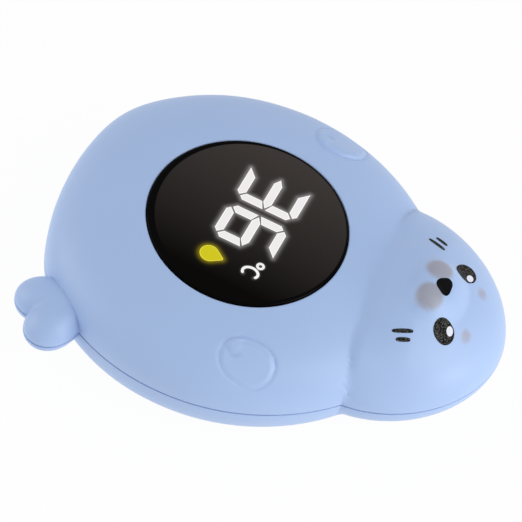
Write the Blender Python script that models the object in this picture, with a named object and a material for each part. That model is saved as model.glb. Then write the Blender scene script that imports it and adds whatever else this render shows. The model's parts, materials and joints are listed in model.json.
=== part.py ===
"""Bath thermometer in the shape of a seal lying on its back, modelled at rest in metres, +Z up.

Frame: the origin is on the rest plane straight below the centre of the display. X points to the
reader's right, Y towards the head and Z up. Sizes below are in millimetres and degrees.
"""

import math

import bmesh
import bpy
import numpy as np
from mathutils import Vector

MM = 0.001

# Clearance between pieces that seat on each other
FIT = 0.3

# Levels of the two shells
SEAM_Z = 13.3
WALL = 2.0
FLOOR = 2.0
UPPER_RIM = SEAM_Z + FIT / 2
LOWER_RIM = SEAM_Z - FIT / 2

# Body seen from above: a rounded form, fuller at its two lower corners
BODY_HALF_WIDTH = 40.7
BODY_TO_HEAD = 45.2
BODY_TO_TAIL = 41.1
BODY_POWER_HEAD = 1.91
BODY_POWER_TAIL = 2.15
CORNER_SWELL = 0.022
CORNER_ANGLE = 32.4
CORNER_SPREAD = 14.3
BODY_RISE = 13.6
BODY_RISE_POWERS = (3.0, 2.8)
BODY_FLAT = 0.657
FLOOR_FLAT = 0.72

# Head seen from above, laid over the body
HEAD_Y = 32.9
HEAD_HALF_WIDTH = 27.0
HEAD_LENGTH = 28.2
CHIN_LENGTH = 7.0
HEAD_POWER = 1.854
HEAD_RISE = 15.9
HEAD_RISE_POWERS = (1.95, 2.0)
HEAD_DEPTH = 7.6
HEAD_FLAT = 0.70
UNDER_POWERS = (2.0, 2.28)

# The two tail lobes: centres, half sizes, directions, and heights over and under the parting plane
TAIL_LEFT = (29.2, -33.7)
TAIL_RIGHT = (34.2, -30.3)
TAIL_HALF_LENGTH = 6.8
TAIL_HALF_WIDTH = 5.4
TAIL_LEFT_TURN = -75.0
TAIL_RIGHT_TURN = -25.0
TAIL_RISE = 4.4
TAIL_DEPTH = 3.0
TAIL_POWER = 2.1
TAIL_RISE_POWERS = (2.2, 1.9)
TAIL_UNDER_POWERS = (4.0, 2.4)
TAIL_STRETCH = 2.2
TAIL_ROOT = 1.6

# Crease behind the face: its place and bow, how far the head takes to rise from it, and where it ends
NECK_AT = 29.0
NECK_BOW = 0.0065
NECK_LENGTH = 12.0
NECK_POWER = 1.6
NECK_WIDTH = 24.0
NECK_FADE = 13.0

# Raised forms on the upper shell
SNOUT_AT = (0.0, 43.4)
SNOUT_HALF = (9.6, 7.4)
SNOUT_RISE = 2.0
FLIPPER_AT = (32.0, 11.5)
FLIPPER_HALF = (4.9, 6.4)
FLIPPER_RISE = 0.35
FLIPPER_SHARPNESS = 4.0
THUMB_AT = (29.8, 7.4)
THUMB_HALF = (1.9, 1.7)
THUMB_RISE = 0.2
THUMB_SHARPNESS = 3.0

# Display window and its seat in the upper shell
WINDOW_RADIUS = 22.0
WINDOW_THICK = 1.6
WINDOW_TOP = 26.5
WINDOW_BEVEL = 0.5
GASKET_THICK = 0.6
GASKET_WIDTH = 1.3
SEAT_WIDTH = 2.0
SEAT_THICK = 1.5
SEAT_WALL = 2.2

# Display: two seven-bar digits, a degree ring, a C and a drop, on one block
DISPLAY_TURN = -5.7
DIGIT_WIDTH = 9.6
DIGIT_HEIGHT = 14.3
DIGIT_PITCH = 11.6
BAR_WIDTH = 1.95
BAR_GAP = 0.4
BAR_CHAMFER = 1.15
BAR_THICK = 1.3
TENS_X = -9.4
DIGITS_Y = 1.58
DEGREE_AT = (9.47, 7.33)
DEGREE_RADIUS = 0.95
DEGREE_HOLE = 0.38
CELSIUS_AT = (12.1, 6.1)
CELSIUS_RADII = (1.35, 1.75)
CELSIUS_STROKE = 0.62
CELSIUS_OPEN = 48.0
DROP_AT = (12.1, -3.6)
DROP_RADIUS = 2.1
DROP_TIP = 3.5
BLOCK_MARGIN = 1.1
BLOCK_CORNER = 2.0
BLOCK_THICK = 4.5

# Circuit board, its bosses and screws
BOARD_EDGE = 1.9
BOARD_THICK = 1.2
BOARD_BOSS_RADIUS = 1.9
BOARD_SCREW_RADIUS = 0.8
BOARD_HEAD_RADIUS = 1.7
BOARD_HEAD_THICK = 1.0
BOARD_SCREW_DEPTH = 2.6
CHIP_SIDE = 8.0
CHIP_THICK = 1.2
CHIP_CORNER = 0.4
CHIP_AT = (-4.0, 5.0)

# Screws that join the two shells from below
SHELL_SCREW_OUT = 0.6
SHELL_SCREW_BEARING = 35.3
POST_RADIUS = 2.5
BOSS_RADIUS = 3.4
BOSS_TOP = 7.7
SHELL_SCREW_RADIUS = 1.1
SHELL_HEAD_RADIUS = 2.4
SHELL_HEAD_THICK = 2.0
SHELL_HEAD_SINK = 1.2
SHELL_SCREW_DEPTH = 6.0
HOLE_CLEAR = 0.4

# Battery cells, their box, contacts, seal and door
CELL_RADIUS = 5.25
CELL_LENGTH = 44.5
CELL_BEVEL = 0.4
NUB_RADIUS = 1.9
NUB_LENGTH = 0.8
SPRING_SPACE = 2.2
SPRING_RADIUS = 3.0
SPRING_END_RADIUS = 2.2
SPRING_WIRE = 0.25
SPRING_TURNS = 3
CONTACT_THICK = 0.4
CONTACT_HEIGHT = 8.0
CONTACT_WIDTH = 7.4
CONTACT_TAB = 2.0
CONTACT_STANDS_OUT = 1.0
BOX_WALL = 1.2
BOX_CORNER = 1.5
BOX_SEAL_THICK = 0.6
DOOR_LIP = 0.6
DOOR_CORNER = 2.5
TAB_HALF_WIDTH = 3.5
TAB_MARGIN = 2.5
LUG_RADIUS = 2.6
LUG_TOP = 9.5
LUG_OUT = 2.2
DOOR_SCREW_RADIUS = 0.8
DOOR_HEAD_RADIUS = 1.8
DOOR_HEAD_THICK = 0.8
DOOR_HEAD_SINK = 0.15
DOOR_SCREW_DEPTH = 4.0

# Temperature sensor and the two water contacts, let into the flat of the base
SENSOR_GAP = 1.25
SENSOR_RADIUS = 3.2
SENSOR_WALL = 0.4
SENSOR_TOP = 6.5
SENSOR_SINK = 0.3
SENSOR_FLANGE = 4.6
SENSOR_FLANGE_THICK = 0.5
SENSOR_SEAL_THICK = 0.8
BEAD_RADIUS = 1.0
PIN_GAP = 3.35
PIN_Y = 4.0
PIN_RADIUS = 1.4
PIN_BEVEL = 0.3
PIN_FLANGE = 2.5
PIN_FLANGE_THICK = 0.7
PIN_TOP = 4.2

# Leads
LEAD_RADIUS = 0.45
SENSOR_LEAD_RADIUS = 0.36
LEAD_SPACING = 0.95
SENSOR_LEAD_SHIFT = 2.2
LEAD_OVERLAP = 0.2
LEAD_BEND = 1.6
LEAD_BEND_RISE = 0.1
LEAD_FROM_EDGE = 4.8
PIN_LEAD_SWAY = (0.3, -0.6)
PIN_LEAD_BENDS = (3.0, 4.0)

# Ring seal behind the parting line
PARTING_SEAL_WIDTH = 1.2
PARTING_SEAL_HEIGHT = 2.4

# Fineness of the meshes
AROUND = 84
UPPER_RINGS = 13
UPPER_INNER_RINGS = 5
LOWER_RINGS = 7
LOWER_INNER_RINGS = 7
FLOOR_MIDDLE = 0.1
FLOOR_POWER = 2.2
TAIL_SIDES = 24
TAIL_RINGS = 6
WINDOW_SIDES = 64
ROUND_SIDES = 24
SMALL_SIDES = 12

# Levels that follow from the sizes above
WINDOW_BASE = WINDOW_TOP - WINDOW_THICK
SEAT_TOP = WINDOW_BASE - FIT - GASKET_THICK - FIT
SEAT_BASE = SEAT_TOP - SEAT_THICK
APERTURE = WINDOW_RADIUS + FIT
SEAT_RING = APERTURE + SEAT_WALL
BOARD_BOSS_AT = APERTURE
BOARD_RADIUS = BOARD_BOSS_AT + BOARD_EDGE
BAR_TOP = WINDOW_BASE - FIT
BLOCK_TOP = BAR_TOP - BAR_THICK - FIT
BLOCK_BASE = BLOCK_TOP - BLOCK_THICK
BOARD_TOP = BLOCK_BASE - FIT
BOARD_BASE = BOARD_TOP - BOARD_THICK
POST_BASE = BOSS_TOP + FIT
POST_TOP = SEAT_TOP + 0.5
CELL_Z = FLOOR + FIT + CELL_RADIUS
CELL_X = CELL_RADIUS + FIT
CELL_END = (CELL_LENGTH + SPRING_SPACE + 3 * FIT) / 2 - FIT
CONTACT_Y = CELL_END + FIT
BOX_INNER = (2 * CELL_RADIUS + 1.5 * FIT, CONTACT_Y + CONTACT_THICK + FIT)
BOX_OUTER = (BOX_INNER[0] + BOX_WALL, BOX_INNER[1] + BOX_WALL)
BOX_BASE = FLOOR + FIT + BOX_SEAL_THICK + FIT
BOX_CEILING = CELL_Z + CELL_RADIUS + FIT
BOX_TOP = BOX_CEILING + BOX_WALL
DOOR_OPENING = (BOX_INNER[0] + FIT, BOX_INNER[1] - DOOR_LIP)
DOOR_SCREW_AT = BOX_OUTER[1] + LUG_OUT
SHELL_SCREW_REACH = SEAT_RING + SHELL_SCREW_OUT
SENSOR_AT = (-(BOX_OUTER[0] + SENSOR_FLANGE + SENSOR_GAP), 0.0)
PIN_AT = (BOX_OUTER[0] + PIN_FLANGE + PIN_GAP, PIN_Y)
TAB_END = DOOR_SCREW_AT + TAB_MARGIN
TAB_TOP = BOX_TOP + CONTACT_STANDS_OUT


def material(name, colour, roughness, metallic=0.0):
    """A Principled material. The colour is linear RGB."""
    made = bpy.data.materials.new(name)
    made.use_nodes = True
    shader = made.node_tree.nodes["Principled BSDF"]
    shader.inputs["Base Color"].default_value = (*colour, 1.0)
    shader.inputs["Roughness"].default_value = roughness
    shader.inputs["Metallic"].default_value = metallic
    made.diffuse_color = (*colour, 1.0)
    return made


def add_object(name, mesh, finish, at=(0.0, 0.0, 0.0), smooth=35.0):
    """Links a mesh as one named object. Its place is in millimetres."""
    mesh.materials.append(finish)
    if smooth:
        mesh.shade_smooth()
        mesh.set_sharp_from_angle(angle=math.radians(smooth))
    made = bpy.data.objects.new(name, mesh)
    made.location = Vector(at) * MM
    bpy.context.scene.collection.objects.link(made)
    return made


def mesh_from(name, points, faces):
    """A mesh from points in millimetres, its faces turned to point outwards."""
    mesh = bpy.data.meshes.new(name)
    mesh.from_pydata([tuple(p) for p in np.asarray(points) * MM], [], faces)
    shape = bmesh.new()
    shape.from_mesh(mesh)
    bmesh.ops.recalc_face_normals(shape, faces=shape.faces)
    shape.to_mesh(mesh)
    shape.free()
    return mesh


def loft(name, loops, wrap=False):
    """Joins loops of points, one to the next. It wraps round to the first loop or closes both ends flat."""
    count = len(loops[0])
    points = np.concatenate(loops)
    faces = []
    pairs = len(loops) if wrap else len(loops) - 1
    for k in range(pairs):
        here = k * count
        there = ((k + 1) % len(loops)) * count
        for i in range(count):
            j = (i + 1) % count
            faces.append((here + i, here + j, there + j, there + i))
    if not wrap:
        last = (len(loops) - 1) * count
        faces.append(tuple(range(count)))
        faces.append(tuple(range(last, last + count)))
    return mesh_from(name, points, faces)


def turned(name, profile, sides=ROUND_SIDES, wrap=False):
    """A round piece from (radius, height) pairs. It is solid unless it wraps into a ring."""
    angle = np.arange(sides) * 2 * math.pi / sides
    loops = [
        np.stack([r * np.cos(angle), r * np.sin(angle), np.full(sides, z)], axis=1)
        for r, z in profile
    ]
    return loft(name, loops, wrap)


def prism(name, outline, low, high):
    """An outline of (x, y) points carried from one height to another."""
    outline = np.asarray(outline, float)
    loops = [np.column_stack([outline, np.full(len(outline), z)]) for z in (low, high)]
    return loft(name, loops)


def rounded_rectangle(half, corner, steps=5):
    """The outline of a rectangle with round corners, anticlockwise."""
    angle = np.linspace(0, math.pi / 2, steps + 1)
    points = []
    for quarter, (sx, sy) in enumerate(((1, 1), (-1, 1), (-1, -1), (1, -1))):
        turn = angle + quarter * math.pi / 2
        centre = np.array([sx * (half[0] - corner), sy * (half[1] - corner)])
        points.append(centre + corner * np.column_stack([np.cos(turn), np.sin(turn)]))
    return np.concatenate(points)


def turned_points(points, turn):
    """Points in a plane, turned about its origin by an angle in degrees."""
    cos, sin = math.cos(math.radians(turn)), math.sin(math.radians(turn))
    x, y = points[:, 0], points[:, 1]
    return np.column_stack([x * cos - y * sin, x * sin + y * cos])


def cut(target, operation, tool):
    """A live exact Boolean whose tool stays hidden."""
    modifier = target.modifiers.new(tool.name, "BOOLEAN")
    modifier.operation = operation
    modifier.solver = "EXACT"
    modifier.object = tool
    tool.hide_render = True
    tool.display_type = "WIRE"
    return modifier


def joined(name, meshes_at, finish):
    """One helper object from several separate meshes, each with its own place in millimetres."""
    shape = bmesh.new()
    for mesh, at in meshes_at:
        start = len(shape.verts)
        shape.from_mesh(mesh)
        shape.verts.ensure_lookup_table()
        bmesh.ops.translate(shape, verts=shape.verts[start:], vec=Vector(at) * MM)
    mesh = bpy.data.meshes.new(name)
    shape.to_mesh(mesh)
    shape.free()
    return add_object(name, mesh, finish, smooth=0.0)


def lobe(at, half_width, up, down, power_up, power_down, swell=0.0):
    """One rounded form seen from above, as a centre, half sizes, powers and a corner swell."""
    return dict(
        at=at,
        half_width=half_width,
        up=up,
        down=down,
        power_up=power_up,
        power_down=power_down,
        swell=swell,
    )


def gauge(x, y, form, inset=0.0):
    """1 on the outline of a form, less inside it: a root of a sum of powers of x and y over half sizes."""
    dx = x - form["at"][0]
    dy = y - form["at"][1]
    upper = dy > 0
    along = np.where(upper, form["up"], form["down"]) - inset
    power = np.where(upper, form["power_up"], form["power_down"])
    across = form["half_width"] - inset
    value = ((np.abs(dx) / across) ** power + (np.abs(dy) / along) ** power) ** (1 / power)
    if form["swell"]:
        bearing = np.degrees(np.arctan2(np.abs(dx), -dy))
        value = value / (1 + form["swell"] * np.exp(-(((bearing - CORNER_ANGLE) / CORNER_SPREAD) ** 2)))
    return value


BODY = lobe(
    (0.0, 0.0),
    BODY_HALF_WIDTH,
    BODY_TO_HEAD,
    BODY_TO_TAIL,
    BODY_POWER_HEAD,
    BODY_POWER_TAIL,
    swell=CORNER_SWELL,
)
HEAD = lobe((0.0, HEAD_Y), HEAD_HALF_WIDTH, HEAD_LENGTH, CHIN_LENGTH, HEAD_POWER, HEAD_POWER)
OUTLINE = [BODY, HEAD]


def reach(angle, forms, inset=0.0):
    """How far a ray from the origin stays inside any of the forms, found by halving the last step."""
    steps = np.arange(0.0, 90.0, 0.5)
    best = np.zeros_like(angle)
    cos, sin = np.cos(angle), np.sin(angle)
    for form in forms:
        inside = gauge(steps * cos[:, None], steps * sin[:, None], form, inset) < 1
        last = len(steps) - 1 - inside[:, ::-1].argmax(axis=1)
        low = steps[last]
        high = low + 0.5
        for _ in range(24):
            middle = (low + high) / 2
            within = gauge(middle * cos, middle * sin, form, inset) < 1
            low = np.where(within, middle, low)
            high = np.where(within, high, middle)
        best = np.maximum(best, np.where(inside.any(axis=1), low, 0.0))
    return best


def bearings(count):
    """Angles evenly spaced along the outline, with one on each notch where two forms meet."""
    fine = np.arange(3600) * 2 * math.pi / 3600
    each = np.array([reach(fine, [form]) for form in OUTLINE])
    radius = each.max(axis=0)
    x, y = radius * np.cos(fine), radius * np.sin(fine)
    step = np.hypot(np.roll(x, -1) - x, np.roll(y, -1) - y)
    length = np.concatenate([[0.0], np.cumsum(step)])
    wanted = np.arange(count) * length[-1] / count
    angle = np.interp(wanted, length, np.append(fine, 2 * math.pi))
    owner = each.argmax(axis=0)
    for k in np.nonzero(owner != np.roll(owner, 1))[0]:
        notch = fine[k] - math.pi / 3600
        angle[np.abs(angle - notch).argmin()] = notch
    return np.sort(angle)


def dome(value, powers):
    """1 at the middle of a form and 0 at its outline."""
    m, n = powers
    return np.clip(1 - np.clip(value, 0, 1) ** m, 0, 1) ** (1 / n)


def ease(t):
    """A smooth step from 0 to 1."""
    t = np.clip(t, 0, 1)
    return t * t * (3 - 2 * t)


def mound(x, y, at, half, sharp=1.0):
    """A low round hill: 1 at its middle, 0 outside its oval."""
    u, v = (x - at[0]) / half[0], (y - at[1]) / half[1]
    return ease((1 - u * u - v * v) * sharp)


def relief(x, y):
    """Snout, and on each side a flipper with its thumb."""
    side = np.abs(x)
    height = SNOUT_RISE * mound(x, y, SNOUT_AT, SNOUT_HALF)
    height = height + FLIPPER_RISE * mound(side, y, FLIPPER_AT, FLIPPER_HALF, FLIPPER_SHARPNESS)
    return height + THUMB_RISE * mound(side, y, THUMB_AT, THUMB_HALF, THUMB_SHARPNESS)


def neck(x, y):
    """Share of the head in the shape: it grows from the crease behind the face, and is 1 at the sides."""
    along = np.clip((y - NECK_AT - NECK_BOW * x * x) / NECK_LENGTH, 0, 1)
    return 1 - ease((NECK_WIDTH - np.abs(x)) / NECK_FADE) * (1 - along) ** NECK_POWER


def upper_height(x, y, inset=0.0):
    """Height of the upper shell over the parting plane. The inside has no relief."""
    body = (BODY_RISE - inset) * dome(gauge(x, y, BODY, inset), BODY_RISE_POWERS)
    head = (HEAD_RISE - inset) * dome(gauge(x, y, HEAD, inset), HEAD_RISE_POWERS)
    height = body + np.maximum(head - body, 0) * neck(x, y)
    return height if inset else height + relief(x, y)


def lower_depth(x, y, inset=0.0):
    """Depth of the lower shell under the parting plane, flat over the middle of each form."""
    floor = FLOOR if inset else 0.0
    flat = FLOOR_FLAT if inset else BODY_FLAT
    body = (gauge(x, y, BODY, inset) - flat) / (1 - flat)
    head = (gauge(x, y, HEAD, inset) - HEAD_FLAT) / (1 - HEAD_FLAT)
    return np.maximum(
        (LOWER_RIM - floor) * dome(body, UNDER_POWERS),
        (HEAD_DEPTH - floor) * dome(head, UNDER_POWERS),
    )


def ring_at(angle, radius, height):
    """A loop of points at given bearings. The radius and height are numbers or arrays."""
    radius = np.broadcast_to(radius, angle.shape)
    x, y = radius * np.cos(angle), radius * np.sin(angle)
    z = height(x, y) if callable(height) else np.full(angle.shape, float(height))
    return np.column_stack([x, y, z])


def rim_steps(count, start, power):
    """Shares of the way from the middle to the outline, closer together towards the outline."""
    return 1 - (1 - np.linspace(start, 1, count)) ** power


def floor_rings(outline, flat, count):
    """Radii of rings over the floor: one near the middle, one on the flat's edge, the rest beyond it."""
    steps = rim_steps(count, 0.0, FLOOR_POWER)
    return [flat * FLOOR_MIDDLE, *[flat + (outline - flat) * s for s in steps]]


def tail_lobes(side, rim, rise, powers, finish):
    """Two half lobes on the parting plane, stretched towards the body and trimmed inside its wall."""
    angle = np.arange(TAIL_SIDES) * 2 * math.pi / TAIL_SIDES
    fan = np.arange(AROUND) * 2 * math.pi / AROUND
    core = prism(
        "core",
        ring_at(fan, reach(fan, [BODY], TAIL_ROOT), 0.0)[:, :2],
        SEAM_Z - 2 * TAIL_RISE,
        SEAM_Z + 2 * TAIL_RISE,
    )
    core = joined(f"{side}_tail_core", [(core, (0.0, 0.0, 0.0))], finish)
    lobes = []
    total = np.abs(np.cos(angle)) ** TAIL_POWER + np.abs(np.sin(angle)) ** TAIL_POWER
    size = total ** (-1 / TAIL_POWER)
    length = np.where(np.cos(angle) < 0, TAIL_STRETCH, 1.0) * TAIL_HALF_LENGTH
    outline = np.column_stack([length * size * np.cos(angle), TAIL_HALF_WIDTH * size * np.sin(angle)])
    for which, at, turn in (
        ("left", TAIL_LEFT, TAIL_LEFT_TURN),
        ("right", TAIL_RIGHT, TAIL_RIGHT_TURN),
    ):
        placed = turned_points(outline, turn)
        loops = []
        for s in rim_steps(TAIL_RINGS, 0.1, 2.0):
            height = np.full(TAIL_SIDES, rim + rise * dome(s, powers))
            loops.append(np.column_stack([at + s * placed, height]))
        lobe_half = joined(f"{side}_tail_{which}", [(loft("lobe", loops), (0.0, 0.0, 0.0))], finish)
        cut(lobe_half, "DIFFERENCE", core)
        lobes.append(lobe_half)
    return lobes


def upper_shell(finish):
    """Outer skin from the window opening to the parting line, inner skin back, and the window's seat."""
    angle = bearings(AROUND)
    outer = reach(angle, OUTLINE)
    inner = reach(angle, OUTLINE, WALL)
    out_steps = rim_steps(UPPER_RINGS, 0.0, 1.9)
    in_steps = rim_steps(UPPER_INNER_RINGS, 0.0, 2.8)[::-1]
    loops = []
    for s in out_steps:
        radius = APERTURE + (outer - APERTURE) * s
        loops.append(ring_at(angle, radius, lambda x, y: UPPER_RIM + upper_height(x, y)))
    loops[-1][:, 2] = UPPER_RIM
    for s in in_steps:
        radius = SEAT_RING + (inner - SEAT_RING) * s
        loops.append(ring_at(angle, radius, lambda x, y: UPPER_RIM + upper_height(x, y, WALL)))
    loops[UPPER_RINGS][:, 2] = UPPER_RIM
    inside = APERTURE - SEAT_WIDTH
    for radius, z in (
        (SEAT_RING, SEAT_BASE),
        (inside, SEAT_BASE),
        (inside, SEAT_TOP),
        (APERTURE, SEAT_TOP),
    ):
        loops.append(ring_at(angle, radius, z))
    shell = add_object("upper_shell", loft("upper_shell", loops, wrap=True), finish)
    for lobe_half in tail_lobes("upper", UPPER_RIM, TAIL_RISE, TAIL_RISE_POWERS, finish):
        cut(shell, "UNION", lobe_half)

    board_boss = prism_round(BOARD_BOSS_RADIUS, BOARD_TOP + FIT, SEAT_BASE + 0.6)
    post = prism_round(POST_RADIUS, POST_BASE, POST_TOP)
    board_hole = prism_round(
        BOARD_SCREW_RADIUS + FIT, BOARD_TOP + FIT - 1.0, BOARD_TOP + BOARD_SCREW_DEPTH + FIT
    )
    post_hole = prism_round(
        SHELL_SCREW_RADIUS + HOLE_CLEAR, POST_BASE - 1.0, POST_BASE + SHELL_SCREW_DEPTH + FIT
    )
    solids = [(board_boss, at) for at in board_screw_places()]
    solids += [(post, at) for at in shell_screw_places()]
    holes = [(board_hole, at) for at in board_screw_places()]
    holes += [(post_hole, at) for at in shell_screw_places()]
    cut(shell, "UNION", joined("upper_bosses", solids, finish))
    cut(shell, "DIFFERENCE", joined("upper_holes", holes, finish))


def prism_round(radius, low, high, sides=SMALL_SIDES):
    """A plain round bar, for bosses and holes."""
    return turned("round", [(radius, low), (radius, high)], sides)


def board_screw_places():
    """Four places around the window's seat."""
    r = BOARD_BOSS_AT
    return [(r, 0.0, 0.0), (0.0, r, 0.0), (-r, 0.0, 0.0), (0.0, -r, 0.0)]


def shell_screw_places():
    """Four places outside the battery box."""
    bearing = math.radians(SHELL_SCREW_BEARING)
    x, y = SHELL_SCREW_REACH * math.cos(bearing), SHELL_SCREW_REACH * math.sin(bearing)
    return [(x, y, 0.0), (-x, y, 0.0), (-x, -y, 0.0), (x, -y, 0.0)]


def door_outline(clear):
    """The battery door seen from below: a rounded rectangle with a tab for its screw, towards the tail."""
    half = (DOOR_OPENING[0] - clear, DOOR_OPENING[1] - clear)
    points = rounded_rectangle(half, DOOR_CORNER)
    right = TAB_HALF_WIDTH - clear
    end = -(TAB_END - clear)
    angle = np.linspace(math.pi, 2 * math.pi, 9)
    arc = np.column_stack([right * np.cos(angle), end + right + right * np.sin(angle)])
    split = np.nonzero(points[:, 1] < -half[1] + 1e-6)[0].max()
    left_side = points[points[:, 0] < 0]
    right_side = points[points[:, 0] > 0]
    lower_left = left_side[left_side[:, 1] < 0]
    lower_right = right_side[right_side[:, 1] < 0]
    upper = points[points[:, 1] > 0]
    neck_left = np.array([[-right, -half[1]]])
    neck_right = np.array([[right, -half[1]]])
    return np.concatenate([upper, lower_left, neck_left, arc, neck_right, lower_right])


def lower_shell(finish):
    """Outer skin from the base to the parting line, inner skin back, bosses, and openings in the floor."""
    angle = bearings(AROUND)
    outer = reach(angle, OUTLINE)
    inner = reach(angle, OUTLINE, WALL)
    loops = []
    flat = BODY_FLAT * reach(angle, [BODY])
    for radius in floor_rings(outer, flat, LOWER_RINGS):
        loops.append(ring_at(angle, radius, lambda x, y: LOWER_RIM - lower_depth(x, y)))
    rim = len(loops)
    loops[rim - 1][:, 2] = LOWER_RIM
    flat = FLOOR_FLAT * reach(angle, [BODY], WALL)
    for radius in floor_rings(inner, flat, LOWER_INNER_RINGS)[::-1]:
        loops.append(ring_at(angle, radius, lambda x, y: LOWER_RIM - lower_depth(x, y, WALL)))
    loops[rim][:, 2] = LOWER_RIM
    shell = add_object("lower_shell", loft("lower_shell", loops), finish)
    for lobe_half in tail_lobes("lower", LOWER_RIM, -TAIL_DEPTH, TAIL_UNDER_POWERS, finish):
        cut(shell, "UNION", lobe_half)

    sink = SHELL_HEAD_SINK + SHELL_HEAD_THICK + FIT
    boss = prism_round(BOSS_RADIUS, FLOOR / 2, BOSS_TOP)
    bore = prism_round(SHELL_SCREW_RADIUS + HOLE_CLEAR, sink - 0.5, BOSS_TOP + 1.0)
    counterbore = prism_round(SHELL_HEAD_RADIUS + HOLE_CLEAR, -1.0, sink)
    sensor_hole = prism_round(SENSOR_RADIUS + FIT, -1.0, FLOOR + 1.0, ROUND_SIDES)
    pin_hole = prism_round(PIN_RADIUS + FIT, -1.0, FLOOR + 1.0)
    places = shell_screw_places()
    bosses = joined("lower_bosses", [(boss, at) for at in places], finish)
    counterbores = joined("lower_counterbores", [(counterbore, at) for at in places], finish)
    bores = joined("lower_bores", [(bore, at) for at in places], finish)
    cut(shell, "UNION", bosses)
    cut(shell, "DIFFERENCE", counterbores)
    cut(shell, "DIFFERENCE", bores)
    openings = [(prism("door_hole", door_outline(0.0), -1.0, FLOOR + 1.0), (0.0, 0.0, 0.0))]
    openings.append((sensor_hole, (*SENSOR_AT, 0.0)))
    openings += [(pin_hole, at) for at in pin_places()]
    cut(shell, "DIFFERENCE", joined("floor_openings", openings, finish))


def pin_places():
    """The two water contacts."""
    x, y = PIN_AT
    return [(x, y, 0.0), (x, -y, 0.0)]


def parting_seal(finish):
    """A flat silicone ring that backs the parting line from inside both shells."""
    angle = bearings(AROUND)
    far = reach(angle, OUTLINE, WALL + FIT)
    near = reach(angle, OUTLINE, WALL + FIT + PARTING_SEAL_WIDTH)
    low = SEAM_Z - PARTING_SEAL_HEIGHT / 2
    high = SEAM_Z + PARTING_SEAL_HEIGHT / 2
    loops = [
        ring_at(angle, far, low),
        ring_at(angle, far, high),
        ring_at(angle, near, high),
        ring_at(angle, near, low),
    ]
    add_object("parting_seal", loft("parting_seal", loops, wrap=True), finish)


def window(finish):
    """The round display window, bevelled at its upper edge."""
    profile = [
        (WINDOW_RADIUS, WINDOW_BASE),
        (WINDOW_RADIUS, WINDOW_TOP - WINDOW_BEVEL),
        (WINDOW_RADIUS - WINDOW_BEVEL, WINDOW_TOP),
    ]
    add_object("display_window", turned("display_window", profile, WINDOW_SIDES), finish)


def gasket(finish):
    """The flat silicone ring that the window lies on."""
    low = SEAT_TOP + FIT
    inner = APERTURE - SEAT_WIDTH + FIT
    outer = inner + GASKET_WIDTH
    ring_piece("window_gasket", inner, outer, low, low + GASKET_THICK, finish, sides=WINDOW_SIDES)


def ring_piece(name, inner, outer, low, high, finish, at=(0.0, 0.0, 0.0), sides=ROUND_SIDES):
    """A flat ring of rectangular section."""
    profile = [(outer, low), (outer, high), (inner, high), (inner, low)]
    return add_object(name, turned(name, profile, sides, wrap=True), finish, at)


def upright_bar():
    """The upper right bar of a digit centred on (0, 0): chamfered at the corner, slanted at the middle."""
    x, y = DIGIT_WIDTH / 2, DIGIT_HEIGHT / 2
    inner = x - BAR_WIDTH
    half_chamfer = BAR_CHAMFER / 2 + BAR_GAP / 3
    return np.array(
        [
            (x, BAR_GAP * 0.8),
            (x, y - BAR_CHAMFER - BAR_GAP / 3),
            (x - BAR_CHAMFER / 2 + BAR_GAP / 6, y - half_chamfer - BAR_GAP / 3),
            (inner, y - BAR_WIDTH - BAR_GAP * 0.7),
            (inner, BAR_WIDTH / 2 + BAR_GAP * 0.7),
        ]
    )


def level_bar(free_left, free_right):
    """The top bar of a digit: chamfered where it joins a lit upright bar, pointed where it ends freely."""
    x, y = DIGIT_WIDTH / 2, DIGIT_HEIGHT / 2
    points = []
    for side, free in ((1, free_right), (-1, free_left)):
        tip = [(side * (x - BAR_GAP / 3), y)]
        if not free:
            tip = [
                (side * (x - BAR_CHAMFER / 2 - BAR_GAP / 2), y - BAR_CHAMFER / 2 + BAR_GAP / 4),
                (side * (x - BAR_CHAMFER - BAR_GAP / 3), y),
            ]
        end = [(side * (x - BAR_WIDTH - BAR_GAP * 0.7), y - BAR_WIDTH), *tip]
        points += end if side == 1 else end[::-1]
    return np.array(points)


def middle_bar():
    """The middle bar of a digit: a long hexagon."""
    x = DIGIT_WIDTH / 2 - BAR_GAP
    half = BAR_WIDTH / 2
    blunt = x - half * 1.6
    return np.array([(x, 0), (blunt, half), (-blunt, half), (-x, 0), (-blunt, -half), (blunt, -half)])


def digit_bars(free_tops, free_bottoms):
    """The seven bars of a digit by their usual letters."""
    upright = upright_bar()
    flip_x, flip_y = np.array([-1, 1]), np.array([1, -1])
    return {
        "a": level_bar(*free_tops),
        "b": upright,
        "c": upright * flip_y,
        "d": level_bar(*free_bottoms) * flip_y,
        "e": upright * flip_x * flip_y,
        "f": upright * flip_x,
        "g": middle_bar(),
    }


def on_display(points, at=(0.0, 0.0)):
    """Turns display coordinates into the part's own X and Y."""
    return turned_points(np.asarray(points, float) + np.asarray(at), DISPLAY_TURN)


def drop_outline():
    """A drop: a circle whose upper half is drawn out to a tip along tangents."""
    lift = math.asin(DROP_RADIUS / DROP_TIP)
    around = np.linspace(math.pi - lift, 2 * math.pi + lift, 22)
    circle = DROP_RADIUS * np.column_stack([np.cos(around), np.sin(around)])
    return np.concatenate([circle, [(0.0, DROP_TIP)]])


def celsius_outline():
    """A round-ended arc open to the right."""
    turn = math.radians(CELSIUS_OPEN)
    angle = np.linspace(turn, 2 * math.pi - turn, 19)
    a, b = CELSIUS_RADII
    half = CELSIUS_STROKE / 2
    direction = np.column_stack([np.cos(angle), np.sin(angle)])
    far = direction * (a + half, b + half)
    near = direction * (a - half, b - half)
    return np.concatenate([far, near[::-1]])


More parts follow.
